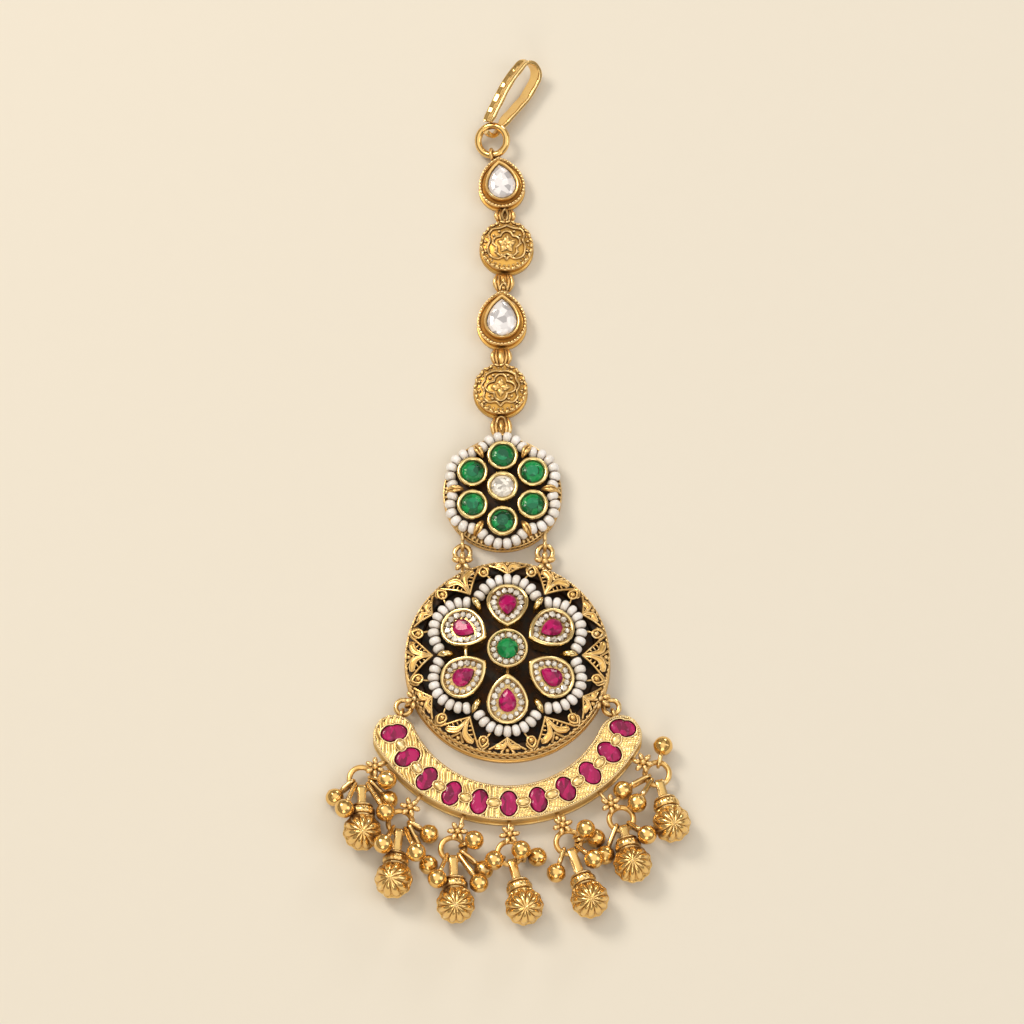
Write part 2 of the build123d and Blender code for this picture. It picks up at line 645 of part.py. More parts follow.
def ball_drop(row):
    """Polished ball soldered to a long wire loop that is threaded on the cluster's loop."""
    cluster = CLUSTERS[row.cluster - 1]
    loop = loop_middle(cluster)
    ball_at = Vector(loop.X + row.dx, loop.Y + row.dy, row.height)
    thread = loop + polar(row.thread, LOOP_R)
    tangent = polar(row.thread + 90, 1)
    run = ball_at - thread
    heading = run.normalized()
    normal = (tangent - heading * tangent.dot(heading)).normalized()
    low = BALL_LOOP_HALF - BALL_LOOP_END
    high = max(run.length - BALL_R + 0.15 - BALL_LOOP_HALF, low + 0.05)
    half = BALL_LOOP_HALF
    path = Wire([
        Line((low, half), (high, half)).edge(),
        ThreePointArc((high, half), (high + half, 0), (high, -half)).edge(),
        Line((high, -half), (low, -half)).edge(),
        ThreePointArc((low, -half), (low - half, 0), (low, half)).edge(),
    ])
    start = Plane(origin=(low, half, 0), z_dir=(1, 0, 0))
    wire = sweep(start * Circle(BALL_WIRE), path=path)
    shape = Plane(origin=thread, x_dir=heading, z_dir=normal) * wire
    return shape + Plane(origin=ball_at, z_dir=heading) * Sphere(BALL_R)


# ---------------------------------------------------------------- write the pieces
def write(name, shape):
    """Write one piece, or a few pieces of one kind, under its node's name."""
    if isinstance(shape, list):
        solids = [solid for part in shape for solid in part.solids()]
        shape = Compound(children=solids)
    export_step(shape, f"parts/{name}.step")


def main():
    """Build every piece and write it."""
    os.makedirs("parts", exist_ok=True)
    write("hook", hook())
    write("top_ring", top_ring())
    for row in TEARDROP_LINKS:
        link = teardrop_link(row)
        if row.name == "1":
            link += link_eye()
        write(f"teardrop_link_{row.name}", link)
        write(f"teardrop_stone_{row.name}", teardrop_stone(row))
    for row in ROUND_LINKS:
        write(f"round_link_{row.name}", Pos(row.x, row.y, 0) * round_link())
    for row in PETAL_LINKS:
        write(f"petal_link_{row.name}", petal_link(row))

    setting = emerald_disc_setting()
    for eye in emerald_disc_lugs():
        setting += eye
    write("emerald_disc_setting", setting)
    write("clear_stone", clear_stone())
    for index in range(6):
        write(f"emerald_{index + 1}", emerald(index))
    write("emerald_disc_pearls",
          pearl_strings(EMERALD_DISC, SMALL_STRING_REACH, SMALL_STRING_R, SMALL_PEARL_R,
                        SMALL_PEARL_STEP, SMALL_PEARLS,
                        EMERALD_PLATE_Z + SMALL_PEARL_R + GAP / 2))
    for x, side in zip(DISC_LINK_X, ("left", "right")):
        ring = wire_ring(disc_link_ring(x), UP, CONNECTOR_R, RING_TUBE)
        write(f"disc_ring_{side}", ring)

    setting = large_disc_setting()
    for eye in large_disc_lugs():
        setting += eye
    write("large_disc_setting", setting)
    for index in range(6):
        write(f"ruby_drop_{index + 1}", ruby_drop(index))
    write("hub_emerald", hub_emerald())
    write("large_disc_pearls",
          pearl_strings(Vector(0, 0, 0), DISC_STRING_REACH, DISC_STRING_R, DISC_PEARL_R,
                        DISC_PEARL_STEP, DISC_PEARLS, DISC_PEARL_Z))
    for sign, side in ((-1, "left"), (1, "right")):
        ring = wire_ring(crescent_link_ring(sign), UP, CONNECTOR_R, RING_TUBE)
        write(f"crescent_ring_{side}", ring)

    write("crescent", crescent_plate())
    rubies = []
    for row in OVAL_RUBIES:
        stone = oval_stone(RUBY_OVAL_W, RUBY_OVAL_L, CRESCENT_H - OVAL_POCKET + GAP / 2,
                           CRESCENT_H + 0.2)
        rubies.append(Pos(row.x, row.y, 0) * Rot(0, 0, row.turn) * stone)
    write("crescent_rubies", rubies)
    for row in CLUSTERS:
        write(f"bell_{row.name}", bell(row))
    for number, row in enumerate(CLUSTERS, start=1):
        balls = [ball_drop(drop) for drop in BALL_DROPS if drop.cluster == number]
        write(f"ball_drops_{row.name}", balls)


main()
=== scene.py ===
"""Visual model of a maang tikka, a forehead jewel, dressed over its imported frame.

Every shape is worked out in millimetres and scaled to metres when its mesh is made. +Z is up out of
the jewel's face, +Y runs to the hair hook, and the origin is the middle of the large disc's back.
"""

import logging
from dataclasses import dataclass, field
from enum import Enum, auto
from math import acos, asin, atan2, copysign, cos, degrees, hypot, pi, radians, sin, tan
from typing import Callable, ClassVar, Optional, Sequence, Union

import bpy
import numpy as np
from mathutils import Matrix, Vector, noise


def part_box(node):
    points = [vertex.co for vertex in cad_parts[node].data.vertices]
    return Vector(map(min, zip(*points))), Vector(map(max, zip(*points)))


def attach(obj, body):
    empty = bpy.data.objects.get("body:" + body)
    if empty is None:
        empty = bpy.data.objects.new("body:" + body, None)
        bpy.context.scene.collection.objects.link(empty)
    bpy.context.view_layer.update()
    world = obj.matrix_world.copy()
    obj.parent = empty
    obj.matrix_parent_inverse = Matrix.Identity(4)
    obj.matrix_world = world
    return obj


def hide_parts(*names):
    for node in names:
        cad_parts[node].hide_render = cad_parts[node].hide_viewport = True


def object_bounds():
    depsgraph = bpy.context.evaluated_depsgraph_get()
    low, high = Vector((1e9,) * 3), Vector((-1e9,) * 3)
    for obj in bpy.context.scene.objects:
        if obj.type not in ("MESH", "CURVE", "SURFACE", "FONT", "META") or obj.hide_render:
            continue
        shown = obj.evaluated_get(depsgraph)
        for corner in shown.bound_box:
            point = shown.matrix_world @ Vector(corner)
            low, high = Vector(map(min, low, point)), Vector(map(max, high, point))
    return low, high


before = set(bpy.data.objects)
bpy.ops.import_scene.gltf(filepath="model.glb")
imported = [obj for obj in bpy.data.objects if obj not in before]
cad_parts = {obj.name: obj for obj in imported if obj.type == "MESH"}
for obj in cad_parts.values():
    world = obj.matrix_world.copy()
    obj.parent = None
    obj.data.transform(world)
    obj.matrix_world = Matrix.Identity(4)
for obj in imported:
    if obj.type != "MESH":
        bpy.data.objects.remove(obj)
CAD_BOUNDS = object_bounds()
MM = 0.001
UP = np.array([0.0, 0.0, 1.0])
log = logging.getLogger("maang_tikka")

Array = np.ndarray
Point = Sequence[float]
Colour = tuple[float, float, float]


# --- curves and places
def unit(vector: Point) -> Array:
    """Return the vector at length one."""
    array = np.asarray(vector, float)
    return array / np.linalg.norm(array)


def units(rows: Array) -> Array:
    """Return every row at length one."""
    return rows / np.linalg.norm(rows, axis=1)[:, None]


def polar(angle: float, reach: float, z: float = 0.0) -> Array:
    """Return the point at an angle in degrees and a distance from the Z axis."""
    turn = radians(angle)
    return np.array([reach * cos(turn), reach * sin(turn), z])


def turns(count: int) -> Array:
    """Return angles in radians, evenly spaced round a circle."""
    return np.arange(count) * 2 * pi / count


def rim(reach: Union[float, Array], angles: Array) -> Array:
    """Return flat points at angles in radians and at distances from the middle."""
    return np.stack([reach * np.cos(angles), reach * np.sin(angles)], 1)


def oval(angles: Array, long: float, short: float) -> Array:
    """Return an ellipse's reach at angles in radians from its long half."""
    return 1 / np.sqrt((np.cos(angles) / long) ** 2 + (np.sin(angles) / short) ** 2)


def lifted(flat: Array, z: float = 0.0) -> Array:
    """Return flat points at a height."""
    return np.column_stack([flat, np.full(len(flat), z)])


def meridian(radius: float, latitudes: Sequence[float]) -> list[tuple[float, float]]:
    """Return a ball's (radius, height) corners at latitudes in degrees."""
    return [(radius * cos(a), radius * sin(a)) for a in map(radians, latitudes)]


def srgb(code: str) -> Colour:
    """Turn a hexadecimal screen colour into the linear one that shaders take.

    Args:
        code: Six hexadecimal digits.

    Returns:
        Linear red, green and blue.
    """
    levels = [int(code[i:i + 2], 16) / 255 for i in (0, 2, 4)]
    linear = [v / 12.92 if v <= 0.04045 else ((v + 0.055) / 1.055) ** 2.4 for v in levels]
    return linear[0], linear[1], linear[2]


@dataclass(frozen=True)
class Place:
    """A position with three axes, for shapes that are made upright and then set at a slant."""

    origin: Array
    x_axis: Array
    y_axis: Array
    z_axis: Array

    @classmethod
    def facing(cls, origin: Point, z_axis: Point, x_hint: Point = (1.0, 0.0, 0.0)) -> "Place":
        """Make a place from the way its Z axis faces.

        Args:
            origin: Where it is.
            z_axis: The way its Z axis points.
            x_hint: Roughly the way its X axis points.

        Returns:
            The place, with square axes.
        """
        z = unit(z_axis)
        hint = np.asarray(x_hint, float)
        if abs(np.dot(unit(hint), z)) > 0.98:
            hint = np.array([0.0, 1.0, 0.0])
        x = unit(hint - z * np.dot(hint, z))
        return cls(np.asarray(origin, float), x, np.cross(z, x), z)

    @classmethod
    def turned(cls, x: float, y: float, z: float = 0.0, angle: float = 0.0) -> "Place":
        """Make an upright place at a point, turned about Z by an angle in degrees."""
        return cls(np.array([x, y, z]), polar(angle, 1), polar(angle + 90, 1), UP)

    def put(self, points: Array) -> Array:
        """Carry points from this place's own axes into the jewel's."""
        p = np.asarray(points, float)
        return (self.origin + p[..., :1] * self.x_axis + p[..., 1:2] * self.y_axis
                + p[..., 2:3] * self.z_axis)


HOME = Place.turned(0.0, 0.0)


class Path:
    """Makers of point rows that wires, rims and stones follow."""

    @staticmethod
    def circle(radius: float, count: int, z: float = 0.0) -> Array:
        """Return evenly spaced points on a circle about Z."""
        return lifted(rim(radius, turns(count)), z)

    @staticmethod
    def wavy(reach: Callable[[Array], Array], count: int) -> Array:
        """Return a closed flat outline from a function of its angle, in radians, to its reach."""
        return lifted(rim(reach(turns(count)), turns(count)))

    @staticmethod
    def link(low: float, high: float, half: float, count: int) -> Array:
        """Return a long chain link's outline along X, from a low bend's middle to a high one's."""
        bend = rim(half, np.radians(np.linspace(-90, 90, 13)))
        return Path.even(lifted(np.vstack([(high, 0) + bend, (low, 0) - bend])), count, closed=True)

    @staticmethod
    def drop(radius: float, tip: float, z: float = 0.0, count: int = 72) -> Array:
        """Return a teardrop outline round the origin, its tip at +Y.

        Args:
            radius: Radius of the round end.
            tip: Distance of the tip from the middle of the round end.
            z: Height of the outline.
            count: How many points to space evenly along it, starting at the tip.

        Returns:
            The closed outline, without a repeated last point.
        """
        shoulder = radians(12)
        inward = np.array([-cos(shoulder), -sin(shoulder)])
        start = -radius * inward
        chord = (0, tip) - start
        bend = chord.dot(chord) / (2 * chord.dot(inward))
        middle = start + inward * bend
        sweep = 2 * asin(min(1.0, np.linalg.norm(chord) / (2 * bend)))
        side = middle + rim(bend, shoulder + np.linspace(0, sweep, 60))
        bowl = rim(radius, np.linspace(shoulder, -pi / 2, 60))
        right = np.vstack([side[::-1], bowl[1:]])
        flat = np.vstack([right, right[::-1][1:] * (-1, 1)])
        return Path.even(lifted(flat, z), count, closed=True)

    @staticmethod
    def even(points: Array, count: int, closed: bool = False) -> Array:
        """Space points evenly along a polyline.

        Args:
            points: The polyline, whose last point may repeat the first.
            count: How many points to return.
            closed: Whether the end joins the start, so that the last point is left out.

        Returns:
            The evenly spaced points.
        """
        line = np.asarray(points, float)
        if closed and np.linalg.norm(line[0] - line[-1]) > 1e-6:
            line = np.vstack([line, line[:1]])
        steps = np.linalg.norm(np.diff(line, axis=0), axis=1)
        run = np.concatenate([[0], np.cumsum(steps)])
        marks = np.linspace(0, run[-1], count + 1)[:-1] if closed else np.linspace(0, run[-1], count)
        return np.stack([np.interp(marks, run, line[:, k]) for k in range(3)], axis=1)

    @staticmethod
    def through(points: Sequence[Point], count: int = 24, closed: bool = False) -> Array:
        """Return a smooth curve through a few points.

        Args:
            points: The points that the curve passes through, flat or solid.
            count: How many points to return.
            closed: Whether the curve comes back to its start.

        Returns:
            Evenly spaced points on a Catmull-Rom curve.
        """
        knots = np.array([tuple(p) + (0.0,) * (3 - len(p)) for p in points], float)
        if closed:
            ring = np.vstack([knots[-1:], knots, knots[:2]])
        else:
            ring = np.vstack([2 * knots[:1] - knots[1:2], knots, 2 * knots[-1:] - knots[-2:-1]])
        t = np.linspace(0, 1, 12, endpoint=False)[:, None]
        spans = []
        for a, b, c, d in zip(ring[:-3], ring[1:-2], ring[2:-1], ring[3:]):
            spans.append(0.5 * (2 * b + (c - a) * t + (2 * a - 5 * b + 4 * c - d) * t ** 2
                                + (3 * b - a - 3 * c + d) * t ** 3))
        line = np.vstack(spans + [ring[-2:-1]])
        return Path.even(line, count, closed)

    @staticmethod
    def filleted(corners: Sequence[Point], bends: Sequence[float], step: float) -> Array:
        """Return a flat route of straight runs joined by tangent arcs.

        Args:
            corners: The route's flat corner points.
            bends: One bend radius for each inner corner.
            step: Distance between the returned points.

        Returns:
            Evenly spaced points along the route, at Z = 0.
        """
        knots = [np.array(c, float) for c in corners]
        line = [knots[0]]
        for before, corner, after, bend in zip(knots, knots[1:], knots[2:], bends):
            back = unit(before - corner)
            ahead = unit(after - corner)
            half = acos(float(np.clip(back.dot(ahead), -1, 1))) / 2
            reach = bend / tan(half)
            middle = corner + unit(back + ahead) * bend / sin(half)
            first = corner + back * reach - middle
            last = corner + ahead * reach - middle
            sweep = atan2(first[0] * last[1] - first[1] * last[0], first.dot(last))
            for turn in np.linspace(0, sweep, 16):
                c, s = cos(turn), sin(turn)
                line.append(middle + (c * first[0] - s * first[1], s * first[0] + c * first[1]))
        line.append(knots[-1])
        flat = lifted(np.array(line))
        length = np.linalg.norm(np.diff(flat, axis=0), axis=1).sum()
        return Path.even(flat, int(length / step) + 1)


# --- shader building
class Signal:
    """A node's output, with the arithmetic that this model's finishes use."""

    def __init__(self, shader: "Shader", socket: bpy.types.NodeSocket) -> None:
        """Wrap a socket of a shader's tree."""
        self.shader = shader
        self.socket = socket

    def __add__(self, other: "Amount") -> "Signal":
        """Add a value."""
        return self.shader.maths("ADD", self, other)

    __radd__ = __add__

    def __sub__(self, other: "Amount") -> "Signal":
        """Take a value away."""
        return self.shader.maths("SUBTRACT", self, other)

    def __rsub__(self, other: "Amount") -> "Signal":
        """Take this from a value."""
        return self.shader.maths("SUBTRACT", other, self)

    def __mul__(self, other: "Amount") -> "Signal":
        """Multiply by a value."""
        return self.shader.maths("MULTIPLY", self, other)

    __rmul__ = __mul__

    def __pow__(self, other: "Amount") -> "Signal":
        """Raise to a power."""
        return self.shader.maths("POWER", self, other)

    def clamped(self) -> "Signal":
        """Keep the value between nothing and one."""
        return self.shader.maths("ADD", self, 0.0, clamp=True)


Amount = Union[float, Signal]
Shade = Union[Colour, Signal]


class Shader:
    """One material's node tree round its Principled surface."""

    def __init__(self, name: str) -> None:
        """Start a material with that name."""
        self.material = bpy.data.materials.new(name)
        self.material.use_nodes = True
        self.tree = self.material.node_tree
        self.surface = self.tree.nodes["Principled BSDF"]

    def node(self, kind: str, settings: dict[str, object],
             inputs: dict[Union[int, str], object]) -> bpy.types.Node:
        """Add a node.

        Args:
            kind: The node's type name.
            settings: Its properties, set first. "stops" gives a colour ramp's stops.
            inputs: Values or signals by socket name or number.

        Returns:
            The new node.
        """
        made = self.tree.nodes.new(kind)
        for key, value in settings.items():
            if key == "stops":
                ramp = made.color_ramp.elements
                while len(ramp) < len(value):
                    ramp.new(0.5)
                for stop, (position, colour) in zip(ramp, value):
                    stop.position = position
                    stop.color = (*colour, 1.0)
            else:
                setattr(made, key, value)
        for key, value in inputs.items():
            self.feed(made.inputs[key], value)
        return made

    def feed(self, socket: bpy.types.NodeSocket, value: object) -> None:
        """Give a socket a number, a colour or another node's signal."""
        if isinstance(value, Signal):
            self.tree.links.new(value.socket, socket)
        elif isinstance(value, tuple) and len(value) == 3 and socket.type == "RGBA":
            socket.default_value = (*value, 1.0)
        else:
            socket.default_value = value

    def signal(self, kind: str, settings: dict[str, object],
               inputs: dict[Union[int, str], object], output: Union[int, str]) -> Signal:
        """Add a node and return one of its outputs."""
        return Signal(self, self.node(kind, settings, inputs).outputs[output])

    def maths(self, operation: str, *values: Amount, clamp: bool = False) -> Signal:
        """Add a Math node over the values."""
        return self.signal("ShaderNodeMath", {"operation": operation, "use_clamp": clamp},
                           dict(enumerate(values)), 0)

    def mix(self, factor: Amount, first: Shade, second: Shade) -> Signal:
        """Mix two colours, from the first at 0 to the second at 1."""
        return self.signal("ShaderNodeMix", {"data_type": "RGBA"},
                           {0: factor, 6: first, 7: second}, 2)

    def local(self, squeeze: Point) -> Signal:
        """Return where a point is on the piece, stretched along each axis."""
        spot = self.signal("ShaderNodeTexCoord", {}, {}, "Object")
        return self.signal("ShaderNodeVectorMath", {"operation": "MULTIPLY"},
                           {0: spot, 1: tuple(squeeze)}, 0)

    def noise(self, grain: float, detail: float) -> Signal:
        """Return cloudy noise round a half, its blotches in millimetres."""
        return self.signal("ShaderNodeTexNoise", {},
                           {"Vector": self.local((1, 1, 1)), "Scale": 1 / (grain * MM),
                            "Detail": detail}, "Fac")

    def shards(self, size: float, squeeze: Point) -> Signal:
        """Return a random level for each cell of a cracked pattern, as inside a cut stone."""
        cell = self.signal("ShaderNodeTexVoronoi", {"feature": "F1"},
                           {"Vector": self.local(squeeze), "Scale": 1 / (size * MM),
                            "Randomness": 1.0}, "Color")
        return self.signal("ShaderNodeSeparateColor", {}, {0: cell}, 0)

    def open_sky(self, reach: float) -> Signal:
        """Return 1 on open faces and less in recesses narrower than a reach in millimetres."""
        return self.signal("ShaderNodeAmbientOcclusion", {"samples": 6},
                           {"Distance": reach * MM}, "AO")

    def edge(self, gain: float) -> Signal:
        """Return 0 on flat faces and up to 1 on raised edges."""
        sharpness = self.signal("ShaderNodeNewGeometry", {}, {}, "Pointiness")
        return ((sharpness - 0.5) * gain).clamped()

    def each(self) -> Signal:
        """Return a random level for every loose shape of the mesh."""
        return self.signal("ShaderNodeNewGeometry", {}, {}, "Random Per Island")

    def relief(self, height: Signal, depth: float, strength: float = 1.0) -> None:
        """Press a height into the surface's normal, its depth in millimetres."""
        normal = self.signal("ShaderNodeBump", {},
                             {"Strength": strength, "Distance": depth * MM, "Height": height},
                             "Normal")
        self.feed(self.surface.inputs["Normal"], normal)

    def dress(self, **sockets: object) -> bpy.types.Material:
        """Set the surface's sockets, named with underscores for spaces, and return the material."""
        for name, value in sockets.items():
            self.feed(self.surface.inputs[name.replace("_", " ")], value)
        return self.material


@dataclass(frozen=True)
class Finish:
    """Base of every finish: it has a name and makes its material once."""

    name: str
    made: ClassVar[dict[str, bpy.types.Material]] = {}

    def material(self) -> bpy.types.Material:
        """Return this finish's material, making it the first time."""
        if self.name not in Finish.made:
            Finish.made[self.name] = self.build(Shader(self.name))
        return Finish.made[self.name]

    def build(self, shader: Shader) -> bpy.types.Material:
        """Make the material in an empty shader."""
        raise NotImplementedError


@dataclass(frozen=True)
class Gold(Finish):
    """Gold plate: patina and painted shade darken its recesses, and a painted highlight brightens its
    raised edges.
    """

    body: Colour = srgb("F4C063")
    # bright: painted highlight colour laid on raised edges
    bright: Colour = srgb("FFEFC2")
    # recess: colour of the patina and painted shade in recesses
    recess: Colour = srgb("6A360C")
    roughness: float = 0.3
    reach: float = 0.9
    grain: float = 0.35
    relief: float = 0.012
    darkening: float = 1.15

    def build(self, shader: Shader) -> bpy.types.Material:
        """Make the plate from its patina and painted shade in recesses, painted highlights on raised
        edges and casting grain.
        """
        sky = shader.open_sky(self.reach)
        patina = shader.noise(1.6, 3.0)
        grain = shader.noise(self.grain, 4.0)
        # shade: patina and painted shade from ambient occlusion in recesses, with random blotches
        shade = (sky ** self.darkening * 1.3 - 0.12 + (patina - 0.5) * 0.35).clamped()
        plate = shader.mix(patina, tuple(0.86 * c for c in self.body), self.body)
        plate = shader.mix(shade, self.recess, plate)
        # painted highlight: raised edges lightened towards the bright colour
        painted_edge_highlight = shader.edge(7.0) * shade
        return self._coat(shader, shader.mix(painted_edge_highlight * 0.75, plate, self.bright), shade, grain)

    def _coat(self, shader: Shader, colour: Signal, shade: Signal,
              grain: Signal) -> bpy.types.Material:
        """Lay the colour on as metal, rougher and duller where it is dark.

        Args:
            shader: Where the material is made.
            colour: The plate's colour.
            shade: 1 on open plate, less in recesses, where patina and painted shade darken it.
            grain: Height of the casting grain.

        Returns:
            The material.
        """
        shader.relief(grain, self.relief)
        rough = self.roughness + (grain - 0.5) * 0.14 + (1 - shade) * 0.28
        return shader.dress(Base_Color=colour, Metallic=(0.72 + shade * 0.28).clamped(),
                            Roughness=rough.clamped())


@dataclass(frozen=True)
class Dark(Finish):
    """Near-black inside of a disc, with a faint brown gleam."""

    def build(self, shader: Shader) -> bpy.types.Material:
        """Make the near-black colour from dark blotches and patches of brown metal."""
        dark_blotches = shader.noise(1.1, 4.0)
        colour = shader.mix((dark_blotches * 2.2 - 0.8).clamped(), srgb("120A04"), srgb("55361A"))
        shader.relief(shader.noise(0.5, 3.0), 0.03)
        return shader.dress(Base_Color=colour, Metallic=(dark_blotches * 0.8).clamped(),
                            Roughness=(0.35 + dark_blotches * 0.4).clamped())


@dataclass(frozen=True)
class Gem(Finish):
    """Cut stone over foil: its colour breaks into light and dark shards, painted light and shade of
    its facets.
    """

    # deep and body: dark and light tones of the painted facet shade and light; deep also tints the
    # painted shade
    deep: Colour = srgb("6E0238")
    body: Colour = srgb("B4065F")
    # light: colour of the painted glints
    light: Colour = srgb("F070B8")
    shard: float = 0.9
    squeeze: tuple[float, float, float] = (1.0, 1.0, 0.4)
    roughness: float = 0.07

    def build(self, shader: Shader) -> bpy.types.Material:
        """Make the stone from its painted facet light and shade, painted glints, painted shade at its
        setting, a painted glow and a polished skin.
        """
        shards = shader.shards(self.shard, self.squeeze)
        painted_glints = shader.noise(0.8, 3.0)
        # painted light and shade: each shard of the facets lighter or darker
        colour = shader.mix((shards * 1.3 - 0.1).clamped(), self.deep, self.body)
        # painted highlight: pale glint streaks
        colour = shader.mix(((painted_glints - 0.58) * 5).clamped() * 0.35, colour, self.light)
        # painted shade: the stone darkens where its setting crowds it
        sky = shader.open_sky(0.35)
        colour = shader.mix((sky * 1.6 - 0.35).clamped(), tuple(0.12 * c for c in self.deep), colour)
        shader.relief(shards, 0.05, 0.6)
        # painted glow: the stone emits its own colour, though it is no lamp
        return shader.dress(Base_Color=colour, Roughness=(self.roughness + painted_glints * 0.08).clamped(),
                            Emission_Color=colour, Emission_Strength=0.06, IOR=1.45)


@dataclass(frozen=True)
class Brilliant(Finish):
    """Colourless cut stone, its facets and stones in greys and whites of painted reflections and
    shade.
    """

    shard: float = 0.5
    # dim and clear: painted shade and painted reflection tones of the facets
    dim: Colour = srgb("8A7C6A")
    clear: Colour = srgb("F4F0E6")

    def build(self, shader: Shader) -> bpy.types.Material:
        """Make the stone from bright and dim shards, painted reflections and shade, under a polished
        skin.
        """
        shards = shader.shards(self.shard, (1.0, 1.0, 0.5))
        # painted reflections and shade: a level for each facet and each stone
        level = (shards * 0.75 + shader.each() * 0.45).clamped()
        colour = shader.mix((level * 1.5 - 0.1).clamped(), self.dim, self.clear)
        shader.relief(shards, 0.03)
        return shader.dress(Base_Color=colour, Metallic=((shards - 0.55) * 1.2).clamped(),
                            Roughness=(0.05 + (1 - level) * 0.12).clamped(),
                            Coat_Weight=1.0, Coat_Roughness=0.02)


@dataclass(frozen=True)
class Pearl(Finish):
    """Seed pearls, each a slightly different cream, with a satin skin."""

    warm: Colour = srgb("E0DAD2")
    cool: Colour = srgb("F4F3F3")

    def build(self, shader: Shader) -> bpy.types.Material:
        """Make the nacre from each pearl's own tint, faint growth bands and painted shade between
        pearls.
        """
        bands = shader.noise(0.5, 2.0)
        tint = (shader.each() * 0.7 + bands * 0.5).clamped()
        colour = shader.mix(tint, self.warm, self.cool)
        # painted shade: pearls turn warm grey where their neighbours crowd them
        sky = shader.open_sky(0.5)
        colour = shader.mix((sky * 1.25 - 0.05).clamped(), srgb("8C725A"), colour)
        shader.relief(bands, 0.008)
        return shader.dress(Base_Color=colour, Roughness=(0.26 + bands * 0.15).clamped(),
                            Coat_Weight=0.8, Coat_Roughness=0.07, Subsurface_Weight=0.12,
                            Subsurface_Radius=(0.0006, 0.0005, 0.0004), Subsurface_Scale=1.0)


@dataclass(frozen=True)
class Paper(Finish):
    """Pale, smooth studio paper under the jewel."""

    tone: Colour = srgb("E1DCD0")

    def build(self, shader: Shader) -> bpy.types.Material:
        """Make the paper from its tone and a faint tooth."""
        tooth = shader.noise(3.0, 4.0)
        colour = shader.mix(tooth, tuple(0.985 * c for c in self.tone), self.tone)
        shader.relief(tooth, 0.02, 0.3)
        return shader.dress(Base_Color=colour, Roughness=(0.85 + tooth * 0.1).clamped())


ANTIQUE = Gold("antique_gold_plate")
CAST = Gold("cast_filigree_gold", roughness=0.32, reach=1.0, darkening=1.4)
PALE = Gold("pale_crescent_gold", body=srgb("FBD88C"), bright=srgb("FFF6D6"),
            recess=srgb("84581C"), roughness=0.34, reach=0.45, grain=0.22, relief=0.03)
POLISHED = Gold("polished_gold", body=srgb("FACB76"), roughness=0.17, reach=1.3, relief=0.004)
HAMMERED = Gold("hammered_hook_gold", body=srgb("FFD88E"), roughness=0.18, reach=0.75,
                relief=0.006)
MELON = Gold("melon_bell_gold", body=srgb("FFD484"), roughness=0.2, reach=1.3, relief=0.002,
             darkening=1.5)
BEZEL = Gold("burnished_bezel_gold", body=srgb("FCDC94"), roughness=0.18, reach=0.5, grain=1.1,
             relief=0.003)
DARK_INSIDE = Dark("dark_inside")
RUBY = Gem("ruby_over_foil")
RUBY_OVAL = Gem("oval_ruby_over_foil", deep=srgb("700236"), body=srgb("B2065C"),
                light=srgb("EC64B0"), shard=1.1, squeeze=(1.8, 0.7, 0.4))
EMERALD = Gem("emerald_over_foil", deep=srgb("00381C"), body=srgb("008A44"),
              light=srgb("6CD09C"), shard=1.1)
CRYSTAL = Brilliant("clear_crystal", shard=1.0, dim=srgb("77747A"), clear=srgb("F2F1F4"))
ROUND_CRYSTAL = Brilliant("round_clear_crystal", shard=0.6, dim=srgb("4E463C"), clear=srgb("F4F0E8"))
# painted highlight: a lighter copy of the emerald laid on each emerald's table
EMERALD_TABLE = Gem("emerald_table", deep=srgb("045436"), body=srgb("0E8454"),
                    light=srgb("66C096"), shard=1.6, roughness=0.2)
PAVING = Brilliant("paving_stones", shard=0.3)
NACRE = Pearl("seed_pearl")
BACKGROUND = Paper("studio_paper")


